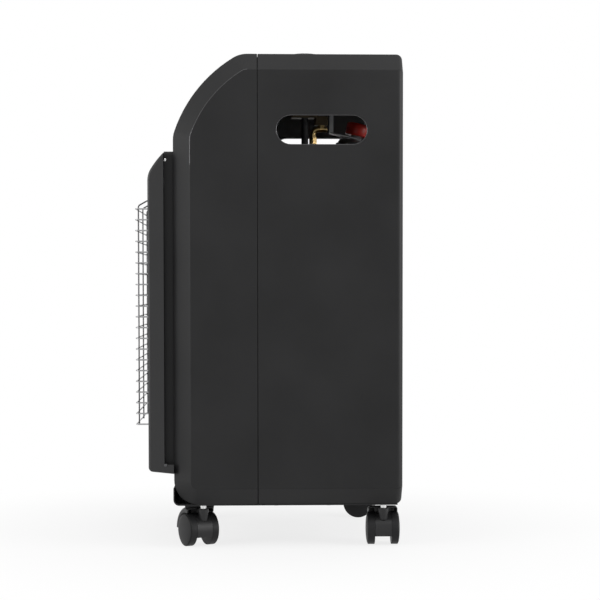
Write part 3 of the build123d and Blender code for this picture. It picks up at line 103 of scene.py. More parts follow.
def set_camera():
    """A long lens on the cabinet's right side, tipped down and turned by two or three degrees."""
    camera_data = bpy.data.cameras.new("side_camera")
    camera = bpy.data.objects.new("side_camera", camera_data)
    scene.collection.objects.link(camera)
    camera_data.lens = camera_lens
    camera_data.sensor_width = 36
    camera_data.shift_x, camera_data.shift_y = camera_shift
    camera.location = camera_place
    camera.rotation_euler = (radians(90 - camera_tip), radians(camera_roll), radians(90 - camera_turn))
    scene.camera = camera


# ------------------------------------------------------------------------------------------
# Materials: shared effects first
# ------------------------------------------------------------------------------------------
def effect_group(name, inputs, outputs):
    """An empty shader node group with named float inputs and named outputs."""
    group = bpy.data.node_groups.new(name, "ShaderNodeTree")
    for label, value in inputs.items():
        socket = group.interface.new_socket(label, in_out="INPUT", socket_type="NodeSocketFloat")
        socket.default_value = value
    for label in outputs:
        group.interface.new_socket(label, in_out="OUTPUT", socket_type="NodeSocketFloat")
    entry = group.nodes.new("NodeGroupInput")
    leaving = group.nodes.new("NodeGroupOutput")
    return group, entry, leaving


def noise_in(group, place, scale, detail=2.0):
    """A noise texture on place, its scale a number or a socket."""
    noise = group.nodes.new("ShaderNodeTexNoise")
    noise.inputs["Detail"].default_value = detail
    group.links.new(place, noise.inputs["Vector"])
    if isinstance(scale, (int, float)):
        noise.inputs["Scale"].default_value = scale
    else:
        group.links.new(scale, noise.inputs["Scale"])
    return noise


def stretch_in(group, factor, low, high):
    """Map 0 to 1 onto low to high, each a number or a socket."""
    span = group.nodes.new("ShaderNodeMapRange")
    group.links.new(factor, span.inputs["Value"])
    for label, value in (("To Min", low), ("To Max", high)):
        if isinstance(value, (int, float)):
            span.inputs[label].default_value = value
        else:
            group.links.new(value, span.inputs[label])
    return span.outputs["Result"]


def make_speckle():
    """Fine powder texture: a roughness that wanders, the grain's height and a cloudy mask for two colours."""
    group, entry, leaving = effect_group(
        "powder_speckle",
        {"Grain Scale": 900.0, "Cloud Scale": 9.0, "Rough Low": 0.36, "Rough High": 0.48},
        ("Roughness", "Height", "Cloud"),
    )
    place = group.nodes.new("ShaderNodeTexCoord").outputs["Object"]
    grain = noise_in(group, place, entry.outputs["Grain Scale"], 3.0)
    cloud = noise_in(group, place, entry.outputs["Cloud Scale"], 4.0)
    rough = stretch_in(group, cloud.outputs["Fac"], entry.outputs["Rough Low"], entry.outputs["Rough High"])
    group.links.new(rough, leaving.inputs["Roughness"])
    group.links.new(grain.outputs["Fac"], leaving.inputs["Height"])
    group.links.new(cloud.outputs["Fac"], leaving.inputs["Cloud"])
    return group


def make_drawn_lines():
    """Fine parallel lines left by rolling or drawing: a roughness, a height and a cloudy mask."""
    group, entry, leaving = effect_group(
        "drawn_lines",
        {"Across X": 60.0, "Across Y": 60.0, "Across Z": 1200.0, "Rough Low": 0.2, "Rough High": 0.4},
        ("Roughness", "Height", "Cloud"),
    )
    place = group.nodes.new("ShaderNodeTexCoord").outputs["Object"]
    axes = group.nodes.new("ShaderNodeCombineXYZ")
    for label, axis in (("Across X", "X"), ("Across Y", "Y"), ("Across Z", "Z")):
        group.links.new(entry.outputs[label], axes.inputs[axis])
    drawn = group.nodes.new("ShaderNodeVectorMath")
    drawn.operation = "MULTIPLY"
    group.links.new(place, drawn.inputs[0])
    group.links.new(axes.outputs["Vector"], drawn.inputs[1])
    lines = noise_in(group, drawn.outputs["Vector"], 1.0, 3.0)
    cloud = noise_in(group, place, 14.0, 3.0)
    rough = stretch_in(group, lines.outputs["Fac"], entry.outputs["Rough Low"], entry.outputs["Rough High"])
    group.links.new(rough, leaving.inputs["Roughness"])
    group.links.new(lines.outputs["Fac"], leaving.inputs["Height"])
    group.links.new(cloud.outputs["Fac"], leaving.inputs["Cloud"])
    return group


def make_plaque_holes():
    """Rows of fine burner holes seen from the front, as a mask and a height."""
    group, entry, leaving = effect_group(
        "plaque_holes", {"Pitch": 0.0021, "Hole": 0.33}, ("Hole Mask", "Height")
    )
    place = group.nodes.new("ShaderNodeTexCoord").outputs["Object"]
    spaced = group.nodes.new("ShaderNodeVectorMath")
    spaced.operation = "DIVIDE"
    spread = group.nodes.new("ShaderNodeCombineXYZ")
    for axis in ("X", "Z"):
        group.links.new(entry.outputs["Pitch"], spread.inputs[axis])
    spread.inputs["Y"].default_value = 1.0
    group.links.new(place, spaced.inputs[0])
    group.links.new(spread.outputs["Vector"], spaced.inputs[1])
    cell = group.nodes.new("ShaderNodeVectorMath")
    cell.operation = "FRACTION"
    group.links.new(spaced.outputs["Vector"], cell.inputs[0])
    flat = group.nodes.new("ShaderNodeVectorMath")
    flat.operation = "MULTIPLY"
    flat.inputs[1].default_value = (1, 0, 1)
    group.links.new(cell.outputs["Vector"], flat.inputs[0])
    away = group.nodes.new("ShaderNodeVectorMath")
    away.operation = "DISTANCE"
    away.inputs[1].default_value = (0.5, 0, 0.5)
    group.links.new(flat.outputs["Vector"], away.inputs[0])
    mask = group.nodes.new("ShaderNodeMath")
    mask.operation = "LESS_THAN"
    group.links.new(away.outputs["Value"], mask.inputs[0])
    group.links.new(entry.outputs["Hole"], mask.inputs[1])
    height = stretch_in(group, mask.outputs["Value"], 1.0, 0.0)
    group.links.new(mask.outputs["Value"], leaving.inputs["Hole Mask"])
    group.links.new(height, leaving.inputs["Height"])
    return group


def finish_material(name, effect, colour, second, settings, values=None, bump=0.2, depth=0.0002,
                    mask="Cloud"):
    """A Principled finish whose colour, roughness and relief come from a shared effect.

    The effect's mask blends colour into second; settings go to the shader and values to the effect.
    """
    material = bpy.data.materials.new(name)
    material.use_nodes = True
    tree = material.node_tree
    shader = tree.nodes["Principled BSDF"]
    for label, value in settings.items():
        shader.inputs[label].default_value = value
    surface = tree.nodes.new("ShaderNodeGroup")
    surface.node_tree = effect
    for label, value in (values or {}).items():
        surface.inputs[label].default_value = value
    tint = tree.nodes.new("ShaderNodeMix")
    tint.data_type = "RGBA"
    tint.inputs["A"].default_value = (*colour, 1)
    tint.inputs["B"].default_value = (*second, 1)
    tree.links.new(surface.outputs[mask], tint.inputs["Factor"])
    tree.links.new(tint.outputs["Result"], shader.inputs["Base Color"])
    if "Roughness" in surface.outputs:
        tree.links.new(surface.outputs["Roughness"], shader.inputs["Roughness"])
    relief = tree.nodes.new("ShaderNodeBump")
    relief.inputs["Strength"].default_value = bump
    relief.inputs["Distance"].default_value = depth
    tree.links.new(surface.outputs["Height"], relief.inputs["Height"])
    tree.links.new(relief.outputs["Normal"], shader.inputs["Normal"])
    return material


speckle = make_speckle()
drawn_lines = make_drawn_lines()
plaque_holes = make_plaque_holes()

black_coat = finish_material(
    "black_powder_coat", speckle, (0.0055, 0.0055, 0.0058), (0.017, 0.017, 0.0175),
    {"Specular IOR Level": 0.2}, {"Rough Low": 0.44, "Rough High": 0.54}, bump=0.3, depth=0.00008,
)
# Near-black strip laid into the seam: painted shade in the gap between the shell and the cabinet.
seam_painted_shade = finish_material(
    "seam_shade_strip", speckle, (0.002, 0.002, 0.002), (0.004, 0.004, 0.004),
    {"Specular IOR Level": 0.1}, {"Rough Low": 0.7, "Rough High": 0.8}, bump=0.2, depth=0.00005,
)
# Light grey for the cabinet's inward faces: painted light inside the cabinet, seen through the finger slots.
inner_painted_light = finish_material(
    "inner_face_painted_light", speckle, (0.15, 0.15, 0.152), (0.19, 0.19, 0.192),
    {"Specular IOR Level": 0.3}, {"Rough Low": 0.5, "Rough High": 0.6}, bump=0.3, depth=0.00008,
)
bezel_coat = finish_material(
    "bezel_powder_coat", speckle, (0.009, 0.009, 0.0095), (0.017, 0.017, 0.0175),
    {"Specular IOR Level": 0.36}, {"Rough Low": 0.38, "Rough High": 0.46}, bump=0.25, depth=0.00006,
)
black_moulding = finish_material(
    "black_moulded_nylon", speckle, (0.009, 0.009, 0.0095), (0.014, 0.014, 0.0145),
    {"Specular IOR Level": 0.32},
    {"Grain Scale": 1600.0, "Cloud Scale": 40.0, "Rough Low": 0.34, "Rough High": 0.46},
    bump=0.3, depth=0.00005,
)
tyre_moulding = finish_material(
    "castor_tread", speckle, (0.007, 0.007, 0.0075), (0.013, 0.013, 0.0135),
    {"Specular IOR Level": 0.2},
    {"Grain Scale": 1100.0, "Cloud Scale": 60.0, "Rough Low": 0.42, "Rough High": 0.58},
    bump=0.3, depth=0.00005,
)
knob_moulding = finish_material(
    "knob_moulding", speckle, (0.012, 0.012, 0.012), (0.018, 0.018, 0.018),
    {"Specular IOR Level": 0.5},
    {"Grain Scale": 1800.0, "Cloud Scale": 50.0, "Rough Low": 0.28, "Rough High": 0.36},
    bump=0.2, depth=0.00004,
)
galvanised = finish_material(
    "galvanised_sheet", drawn_lines, (0.42, 0.43, 0.44), (0.56, 0.57, 0.58), {"Metallic": 1.0},
    {"Across Z": 90.0, "Rough Low": 0.34, "Rough High": 0.5}, bump=0.15, depth=0.0001,
)
polished_tray = finish_material(
    "polished_reflector", drawn_lines, (0.60, 0.60, 0.61), (0.64, 0.64, 0.65), {"Metallic": 1.0},
    {"Across X": 3.0, "Across Y": 120.0, "Across Z": 120.0, "Rough Low": 0.15, "Rough High": 0.19},
    bump=0.01, depth=0.00001,
)
chromed_wire = finish_material(
    "chromed_wire", drawn_lines, (0.26, 0.26, 0.265), (0.36, 0.36, 0.365), {"Metallic": 1.0},
    {"Across X": 30.0, "Rough Low": 0.08, "Rough High": 0.17}, bump=0.05, depth=0.00003,
)
# Darker copy of the chromed wire: painted shade on the uprights, which sit behind the rungs before the black
# bezel; this grey also paints highlights on the slot beads and the shell's fold.
painted_shade_highlight_grey = finish_material(
    "grey_wire_painted_shade_highlight", drawn_lines, (0.085, 0.085, 0.088), (0.13, 0.13, 0.133), {"Metallic": 1.0},
    {"Across Z": 30.0, "Rough Low": 0.2, "Rough High": 0.3}, bump=0.05, depth=0.00003,
)
bright_steel = finish_material(
    "bright_zinc_steel", drawn_lines, (0.6, 0.6, 0.6), (0.74, 0.74, 0.74), {"Metallic": 1.0},
    {"Across X": 300.0, "Across Y": 300.0, "Across Z": 300.0, "Rough Low": 0.2, "Rough High": 0.34},
    bump=0.1, depth=0.00004,
)
brass = finish_material(
    "turned_brass", drawn_lines, (0.6, 0.42, 0.17), (0.72, 0.53, 0.25), {"Metallic": 1.0},
    {"Across Z": 1500.0, "Rough Low": 0.22, "Rough High": 0.36}, bump=0.12, depth=0.00004,
)
valve_metal = finish_material(
    "cast_valve_brass", speckle, (0.11, 0.085, 0.05), (0.17, 0.13, 0.075), {"Metallic": 0.6},
    {"Grain Scale": 1200.0, "Cloud Scale": 70.0, "Rough Low": 0.5, "Rough High": 0.62},
    bump=0.3, depth=0.00007,
)
pipe_metal = finish_material(
    "gas_pipe_steel", drawn_lines, (0.045, 0.045, 0.048), (0.08, 0.08, 0.083), {"Metallic": 0.2},
    {"Across Z": 30.0, "Across X": 900.0, "Rough Low": 0.4, "Rough High": 0.55}, bump=0.1, depth=0.00004,
)
cast_zinc = finish_material(
    "cast_zinc", speckle, (0.2, 0.205, 0.21), (0.28, 0.285, 0.29), {"Metallic": 0.85},
    {"Grain Scale": 1300.0, "Cloud Scale": 60.0, "Rough Low": 0.4, "Rough High": 0.52},
    bump=0.3, depth=0.00007,
)
red_lever = finish_material(
    "red_lever_moulding", speckle, (0.62, 0.022, 0.012), (0.74, 0.035, 0.02), {"Specular IOR Level": 0.5},
    {"Grain Scale": 1500.0, "Cloud Scale": 70.0, "Rough Low": 0.3, "Rough High": 0.42},
    bump=0.2, depth=0.00005,
)
hose_rubber = finish_material(
    "hose_rubber", speckle, (0.62, 0.2, 0.03), (0.7, 0.26, 0.05), {"Specular IOR Level": 0.4},
    {"Grain Scale": 900.0, "Cloud Scale": 50.0, "Rough Low": 0.5, "Rough High": 0.65},
    bump=0.3, depth=0.0001,
)
# The dark second colour, put in by the hole mask, is painted shade inside each burner hole.
fired_ceramic = finish_material(
    "fired_plaque_ceramic", plaque_holes, (0.74, 0.68, 0.58), (0.08, 0.07, 0.06), {"Roughness": 0.85},
    bump=0.8, depth=0.0006, mask="Hole Mask",
)
glazed_ceramic = finish_material(
    "glazed_ceramic", speckle, (0.8, 0.79, 0.75), (0.86, 0.85, 0.82), {"Coat Weight": 0.4},
    {"Rough Low": 0.15, "Rough High": 0.25}, bump=0.1, depth=0.00003,
)

wheel_nodes = [f"castor_wheel_{place}_{side}" for place in castor_places for side in "ab"]
hood_nodes = [f"castor_hood_{place}" for place in castor_places]
axle_nodes = [f"castor_axle_{place}" for place in castor_places]
finishes = (
    (black_coat, ["front_shell", "rear_cabinet", "base_tray", "rear_panel", "burner_neck", "control_plate"]),
    (bezel_coat, ["bezel"]),
    (galvanised, ["heat_shield", "manifold_brackets", "regulator_hanger", "pilot_bracket", "burner_box_left",
                  "burner_box_middle", "burner_box_right", "mixing_tubes", "castor_sockets"]),
    (polished_tray, ["reflector"]),
    (chromed_wire, ["guard_wires"]),
    (painted_shade_highlight_grey, ["guard_uprights"]),
    (fired_ceramic, ["plaques_left", "plaques_middle", "plaques_right"]),
    (glazed_ceramic, ["spark_electrode"]),
    (brass, ["jets", "inlet_elbow", "hose_nut", "pilot_burner", "valve_plunger"]),
    (valve_metal, ["gas_valve"]),
    (pipe_metal, ["gas_manifold", "supply_pipe"]),
    (bright_steel, ["tray_screws", "castor_stems", "thermocouple", "hose_clamp", "valve_spindle"]),
    (bright_steel, axle_nodes),
    (knob_moulding, ["control_knob", "igniter_body", "igniter_button"]),
    (black_moulding, hood_nodes),
    (tyre_moulding, wheel_nodes),
    (red_lever, ["regulator_lever"]),
    (cast_zinc, ["regulator_body", "bottle_coupling"]),
    (hose_rubber, ["gas_hose"]),
)
# Sheet this close to the cabinet's side, or turned in by less than the slack, counts as its outside.
outer_skin = 0.0006
inward_slack = 0.0001


def dress_solids():
    """Give each solid its finish, and the cabinet's inward side faces a light grey that paints the light
    falling inside.
    """
    for material, nodes in finishes:
        for node in nodes:
            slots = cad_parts[node].data.materials
            slots.clear()
            slots.append(material)
    for node in ("front_shell", "rear_cabinet"):
        sheet_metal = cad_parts[node].data
        sheet_metal.materials.append(inner_painted_light)
        for face in sheet_metal.polygons:
            turned_in = face.center.x * face.normal.x < -inward_slack
            if turned_in and abs(face.center.x) < half_width - outer_skin:
                face.material_index = 1


# ------------------------------------------------------------------------------------------
# Workshop steps that the pieces share
# ------------------------------------------------------------------------------------------
def only(piece):
    """Leave one piece selected and active."""
    bpy.ops.object.select_all(action="DESELECT")
    piece.select_set(True)
    bpy.context.view_layer.objects.active = piece


def edit(piece, kind):
    """Go into edit mode on one piece with nothing selected."""
    only(piece)
    bpy.ops.object.mode_set(mode="EDIT")
    bpy.ops.mesh.select_mode(type=kind)
    bpy.ops.mesh.select_all(action="DESELECT")


def leave():
    """Go back to object mode."""
    bpy.ops.object.mode_set(mode="OBJECT")


def pick_corners(piece, wanted):
    """In edit mode, select the vertices for which wanted(place) holds."""
    shape = bmesh.from_edit_mesh(piece.data)
    for vertex in shape.verts:
        vertex.select_set(bool(wanted(vertex.co)))
    shape.select_flush(True)
    bmesh.update_edit_mesh(piece.data)


def true_faces(piece):
    """Close seams and point every face outwards."""
    edit(piece, "VERT")
    bpy.ops.mesh.select_all(action="SELECT")
    bpy.ops.mesh.remove_doubles(threshold=0.000002)
    bpy.ops.mesh.normals_make_consistent(inside=False)
    leave()


def chain(name, corners):
    """A line of edges drawn from corner to corner."""
    bpy.ops.object.select_all(action="DESELECT")
    bpy.ops.mesh.primitive_plane_add(size=0.01)
    piece = bpy.context.active_object
    piece.name = name
    bpy.ops.object.mode_set(mode="EDIT")
    bpy.ops.mesh.select_mode(type="VERT")
    bpy.ops.mesh.select_all(action="SELECT")
    bpy.ops.mesh.merge(type="CENTER")
    bpy.ops.transform.translate(value=corners[0])
    for before, after in zip(corners, corners[1:]):
        step = Vector(after) - Vector(before)
        bpy.ops.mesh.extrude_region_move(TRANSFORM_OT_translate={"value": step})
    leave()
    return piece


def round_bar(line, radius):
    """A line of edges as a closed round bar."""
    only(line)
    bpy.ops.object.convert(target="CURVE")
    line.data.bevel_depth = radius
    line.data.bevel_resolution = 2
    line.data.use_fill_caps = True
    bpy.ops.object.convert(target="MESH")
    true_faces(line)
    return line


def outline(name, corners):
    """A flat face whose rim runs through the corners."""
    piece = chain(name, corners)
    edit(piece, "VERT")
    bpy.ops.mesh.select_all(action="SELECT")
    bpy.ops.mesh.edge_face_add()
    leave()
    return piece


def draw_out(piece, travel):
    """Turn a flat face into a solid by drawing it out."""
    edit(piece, "FACE")
    bpy.ops.mesh.select_all(action="SELECT")
    bpy.ops.mesh.extrude_region_move(TRANSFORM_OT_translate={"value": travel})
    leave()
    true_faces(piece)


def turned(name, rings, segments=64):
    """A turned piece on the Z axis, drawn up ring by ring; each ring is (radius, height)."""
    radius, height = rings[0]
    bpy.ops.object.select_all(action="DESELECT")
    bpy.ops.mesh.primitive_circle_add(vertices=segments, radius=radius, fill_type="NGON",
                                      location=(0, 0, height))
    piece = bpy.context.active_object
    piece.name = name
    bpy.ops.object.transform_apply(location=True, rotation=True, scale=True)
    edit(piece, "FACE")
    bpy.ops.mesh.select_all(action="SELECT")
    for next_radius, next_height in rings[1:]:
        bpy.ops.mesh.extrude_region_move(TRANSFORM_OT_translate={"value": (0, 0, next_height - height)})
        share = next_radius / radius
        bpy.ops.transform.resize(value=(share, share, 1), center_override=(0, 0, next_height))
        radius, height = next_radius, next_height
    leave()
    true_faces(piece)
    return piece


def block(name, low, high):
    """A box between two corners."""
    low, high = Vector(low), Vector(high)
    bpy.ops.object.select_all(action="DESELECT")
    bpy.ops.mesh.primitive_cube_add(size=1, location=(low + high) / 2, scale=high - low)
    piece = bpy.context.active_object
    piece.name = name
    bpy.ops.object.transform_apply(location=True, rotation=True, scale=True)
    return piece


def apply_modifier(piece, kind, **settings):
    """Add one modifier, set it and apply it."""
    only(piece)
    modifier = piece.modifiers.new(kind.lower(), kind)
    for label, value in settings.items():
        setattr(modifier, label, value)
    bpy.ops.object.modifier_apply(modifier=modifier.name)


def round_edges(piece, width, segments=3, angle=35):
    """Round every edge that is sharper than the angle, in degrees."""
    apply_modifier(piece, "BEVEL", width=width, segments=segments, limit_method="ANGLE",
                   angle_limit=radians(angle), use_clamp_overlap=True, miter_outer="MITER_ARC")


def combine(piece, tool, operation):
    """Join, cut or intersect with another piece, which is used up."""
    apply_modifier(piece, "BOOLEAN", operation=operation, object=tool, solver="EXACT")
    bpy.data.objects.remove(tool)


def join(pieces):
    """Several pieces as one object, named as the first."""
    bpy.ops.object.select_all(action="DESELECT")
    for piece in pieces:
        piece.select_set(True)
    bpy.context.view_layer.objects.active = pieces[0]
    bpy.ops.object.join()
    return pieces[0]


def move(piece, matrix):
    """Place a piece by its mesh, so that its object stays at the origin."""
    piece.data.transform(matrix)


def copy_of(piece, name, matrix):
    """A copy with its own mesh, placed by its mesh."""
    twin = piece.copy()
    twin.data = piece.data.copy()
    twin.name = name
    scene.collection.objects.link(twin)
    move(twin, matrix)
    return twin


def fit(piece, body, material, stands_for=(), angle=32):
    """Smooth, finish and hang a piece on its body."""
    only(piece)
    bpy.ops.object.shade_smooth_by_angle(angle=radians(angle))
    piece.data.materials.clear()
    piece.data.materials.append(material)
    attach(piece, body)
    if stands_for:
        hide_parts(*stands_for)


def fit_both_sides(piece, twin_name, material):
    """Hang a piece on the cabinet's right side, and its mirror twin on the left."""
    twin = copy_of(piece, twin_name, Matrix.Scale(-1, 4, (1, 0, 0)))
    true_faces(twin)
    for side_piece in (piece, twin):
        fit(side_piece, "cabinet", material, angle=60)


def turn(axis, angle, place=(0, 0, 0)):
    """A turn about an axis, in degrees, and then a shift to place."""
    return Matrix.Translation(place) @ Matrix.Rotation(radians(angle), 4, axis)


# ------------------------------------------------------------------------------------------
# Twin-wheel castors
# ------------------------------------------------------------------------------------------
wheel_inside = 0.0127
wheel_outside = 0.023
wheel_centre = (castor_trail, 0, wheel_radius)
fender_inner = wheel_radius + 0.0070
fender_outer = wheel_radius + 0.0090
fender_slope = 0.0026
fender_reach = 0.0224
cheek_inner = wheel_radius + 0.0009
cheek_wall = 0.0024
fender_sweep = 104
fender_edge = 0.0007
web_half = 0.0125
web_radius = 0.0249
web_floor_gap = 0.0145
castor_height = 0.058


def shape_wheel():
    """Tread, groove and domed cap, turned about Z; Z = 0 is the castor's middle plane."""
    tread = [
        (0.0170, wheel_inside), (0.0246, wheel_inside), (wheel_radius, wheel_inside + 0.0004),
        (wheel_radius, wheel_outside - 0.0012), (0.0249, wheel_outside - 0.0004), (0.0246, wheel_outside),
        (0.0241, wheel_outside), (0.0240, wheel_outside - 0.0010), (0.0235, wheel_outside - 0.0010),
        (0.0234, wheel_outside + 0.0002), (0.0231, wheel_outside + 0.0007), (0.0223, wheel_outside + 0.0011),
        (0.0180, wheel_outside + 0.0019), (0.0130, wheel_outside + 0.0025), (0.0070, wheel_outside + 0.0029),
        (0.0020, wheel_outside + 0.0030),
    ]
    return turned("castor_wheel_form", tread, 96)


def shape_fender():
    """Curved guard over the wheels: a thin crown with a cheek down each side, swung about the axle."""
    cheek = fender_reach - cheek_wall
    section = [
        (fender_outer, fender_slope - fender_reach), (fender_outer, fender_reach - fender_slope),
        (fender_outer - fender_slope, fender_reach), (cheek_inner, fender_reach), (cheek_inner, cheek),
        (fender_inner, cheek), (fender_inner, -cheek), (cheek_inner, -cheek), (cheek_inner, -fender_reach),
        (fender_outer - fender_slope, -fender_reach),
    ]
    start = [(castor_trail + reach, across, wheel_radius) for reach, across in section]
    fender = outline("castor_hood_form", start)
    edit(fender, "FACE")
    bpy.ops.mesh.select_all(action="SELECT")
    bpy.ops.mesh.spin(steps=40, angle=radians(fender_sweep), center=wheel_centre, axis=(0, 1, 0))
    leave()
    true_faces(fender)
    round_edges(fender, fender_edge, 2)
    return fender


def shape_hood():
    """Fender, web between the wheels, and the boss that the stem turns in."""
    fender = shape_fender()
    web = turned("castor_web", [(web_radius, -web_half), (web_radius, web_half)], 72)
    move(web, Matrix.Translation(wheel_centre) @ Matrix.Rotation(radians(90), 4, "X"))
    edit(web, "FACE")
    bpy.ops.mesh.select_all(action="SELECT")
    bpy.ops.mesh.bisect(plane_co=(0, 0, web_floor_gap), plane_no=(0, 0, 1), use_fill=True, clear_inner=True)
    leave()
    true_faces(web)
    reach = (fender_inner + fender_outer) / 2
    gusset = outline("castor_gusset", [
        (castor_trail, -web_half, wheel_radius), (castor_trail + reach, -web_half, wheel_radius),
        (castor_trail, -web_half, wheel_radius + reach),
    ])
    draw_out(gusset, (0, 2 * web_half, 0))
    boss = turned("castor_boss", [
        (0.0040, 0.0385), (0.0058, 0.0400), (0.0066, 0.0425), (0.0080, 0.0550),
        (0.0080, castor_height - 0.0006), (0.0074, castor_height),
    ], 48)
    for tool in (gusset, boss, web):
        combine(fender, tool, "UNION")
    return fender


def make_castors():
    """One hood and one wheel, copied to each corner and turned to that castor's heading."""
    wheel = shape_wheel()
    hood = shape_hood()
    for place, (x, y, heading) in castor_places.items():
        stand = turn("Z", heading, (x, y, 0))
        fit(copy_of(hood, f"hood_{place}", stand), f"castor_{place}", black_moulding,
            [f"castor_hood_{place}"])
        for side, lean in (("a", -90), ("b", 90)):
            seat = stand @ Matrix.Translation(wheel_centre) @ Matrix.Rotation(radians(lean), 4, "X")
            fit(copy_of(wheel, f"wheel_{place}_{side}", seat), f"wheel_{place}_{side}", tyre_moulding,
                [f"castor_wheel_{place}_{side}"])
    for form in (wheel, hood):
        bpy.data.objects.remove(form)


# ------------------------------------------------------------------------------------------
# Wire guard: one bent wire and one upright, repeated
# ------------------------------------------------------------------------------------------
wire_end_y = bezel_face_y + 0.0004
rung_bend = 0.0045
post_bend = 0.0025
post_first_x = -0.150
post_pitch = 0.100
post_rise = 0.014
post_slope_drop = 0.008
post_count = 4
weld_depth = 0.00015


def bent_wire(name, corners, bend):
    """A wire through the corners, each inner corner bent to a radius, as a closed tube."""
    wire = chain(name, corners)
    edit(wire, "VERT")
    ends = (Vector(corners[0]), Vector(corners[-1]))
    pick_corners(wire, lambda place: min((place - end).length for end in ends) > 0.0005)
    bpy.ops.mesh.bevel(offset=bend, offset_type="OFFSET", segments=6, affect="VERTICES", profile=0.5)
    leave()
    return round_bar(wire, wire_radius)


def repeat(piece, count, step):
    """Repeat a piece in a row, as one mesh."""
    apply_modifier(piece, "ARRAY", count=count, use_relative_offset=False, use_constant_offset=True,
                   constant_offset_displace=step)


def make_guard():
    """Level wires with their ends turned back to the bezel, and four uprights welded behind them."""
    rung = bent_wire("guard_rungs", [
        (-guard_half_width, wire_end_y, guard_low), (-guard_half_width, guard_y, guard_low),
        (guard_half_width, guard_y, guard_low), (guard_half_width, wire_end_y, guard_low),
    ], rung_bend)
    repeat(rung, guard_rows, (0, 0, guard_pitch))
    fit(rung, "cabinet", chromed_wire, ["guard_wires"], 60)
    top = guard_low + (guard_rows - 1) * guard_pitch + post_rise
    back_y = guard_y + 2 * wire_radius - weld_depth
    post = bent_wire("guard_posts", [
        (post_first_x, back_y, guard_low - wire_radius), (post_first_x, back_y, top - post_slope_drop),
        (post_first_x, bezel_face_y - 2 * wire_radius, top), (post_first_x, wire_end_y, top),
    ], post_bend)
    repeat(post, post_count, (post_pitch, 0, 0))
    # The uprights take the darker grey, painted shade rather than a different metal.
    fit(post, "cabinet", painted_shade_highlight_grey, ["guard_uprights"], 60)


# ------------------------------------------------------------------------------------------
# Small trim: burner neck and bezel lip screws, painted highlights on slot beads and fold, painted shade in
# seam
# ------------------------------------------------------------------------------------------
bead_radius = 0.0004
bead_depth = 0.0005
slot_end_steps = 16
# The fold's painted highlight starts at the foot's height and lies this far outside the fold.
fold_highlight_foot = 0.575
fold_highlight_out = 0.0012
side_slack = 0.00001
# The seam's dark strip, painted shade in the gap, sits between the rolled edges; its top is cut to the crown,
# as (x, z).
strip_inset = 0.0006
strip_depth = 0.0002
strip_wall = 0.002
strip_crown_outer = (0.1880, 0.7370)
strip_crown_inner = (0.1865, 0.7355)


def make_neck_screws():
    """Slotted round-head screws in the sides of the burner neck and the bezel's lip."""
    head = turned("neck_screw_form", [
        (0.0019, -0.0004), (0.0024, 0.0), (0.0024, 0.0005), (0.0021, 0.0010), (0.0015, 0.0013),
        (0.0008, 0.0014),
    ], 24)
    driver_cut = block("screw_driver_cut", (-0.0003, -0.003, 0.0008), (0.0003, 0.003, 0.003))
    combine(head, driver_cut, "DIFFERENCE")
    for side, hand in ((1, "right"), (-1, "left")):
        for name, (x, y, z), metal, slot_name, lean in (
            ("neck_screw", neck_screw_place, bright_steel, "bright_steel", 35),
            ("lip_screw", lip_screw_place, pipe_metal, "black_coated_steel", 110),
        ):
            seat = (Matrix.Translation((side * x, y, z)) @ Matrix.Rotation(radians(90 * side), 4, "Y")
                    @ Matrix.Rotation(radians(lean), 4, "Z"))
            fit(copy_of(head, f"{name}_{hand}", seat), "cabinet", metal)
    bpy.data.objects.remove(head)


def make_slot_beads():
    """A thin bead round each finger slot, where the sheet's edge is turned in; its grey paints the rolled
    edge's highlight.
    """
    rim = []
    for end_y, start in ((slot_half_run, -90), (-slot_half_run, 90)):
        for step in range(slot_end_steps + 1):
            angle = radians(start + step * 180 / slot_end_steps)
            rim.append((half_width - bead_depth, slot_y + end_y + cos(angle) * slot_end_radius,
                        slot_z + sin(angle) * slot_end_radius))
    bead = outline("slot_highlight_bead_right", rim)
    edit(bead, "FACE")
    bpy.ops.mesh.select_all(action="SELECT")
    bpy.ops.mesh.delete(type="ONLY_FACE")
    leave()
    fit_both_sides(round_bar(bead, bead_radius), "slot_highlight_bead_left", painted_shade_highlight_grey)


def make_fold_and_seam():
    """A painted highlight along the top of the shell's fold, and a dark strip of painted shade in the seam
    behind it.
    """
    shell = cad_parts["front_shell"].data
    on_side = [v.co for v in shell.vertices if v.co.x > half_width - side_slack]
    fold = {(round(place.y, 4), round(place.z, 4)) for place in on_side}
    seam_y = max(y for y, z in fold)
    front_y = min(y for y, z in fold)
    low = min(z for y, z in fold)
    high = max(z for y, z in fold)
    crown = sorted((y, z) for y, z in fold if z > fold_highlight_foot)
    climb = [(front_y, fold_highlight_foot)] + crown[:-1]
    path = []
    for number, (y, z) in enumerate(climb):
        before = climb[max(number - 1, 0)]
        after = climb[min(number + 1, len(climb) - 1)]
        along = Vector((0, after[0] - before[0], after[1] - before[1])).normalized()
        path.append((half_width - bead_radius, y - along.z * fold_highlight_out, z + along.y * fold_highlight_out))
    fold_highlight = round_bar(chain("fold_highlight_right", path), bead_radius)
    fit_both_sides(fold_highlight, "fold_highlight_left", painted_shade_highlight_grey)
    strip_y = seam_y + strip_inset
    outer_x = half_width - strip_depth
    inner_x = outer_x - strip_wall
    strip = outline("seam_shade_strip_right", [(x, strip_y, z) for x, z in (
        (inner_x, low), (outer_x, low), (outer_x, high), strip_crown_outer, strip_crown_inner,
        (inner_x, high - strip_wall),
    )])
    draw_out(strip, (0, seam_width - 2 * strip_inset, 0))
    fit_both_sides(strip, "seam_shade_strip_left", seam_painted_shade)


# ------------------------------------------------------------------------------------------
# Controls: knob with scalloped grip, igniter button
# ------------------------------------------------------------------------------------------
knob_gap = 0.005
knob_bottom = cabinet_top + plate_thickness + knob_gap
knob_top = knob_bottom + 0.015
knob_corners = 96
scallop_every = 6
scallop_share = 0.925
igniter_collar = 0.002
igniter_x = 0.060


def heading_of(place):
    """Angle of a place about the Z axis, in degrees."""
    return degrees(atan2(place.y, place.x)) % 360


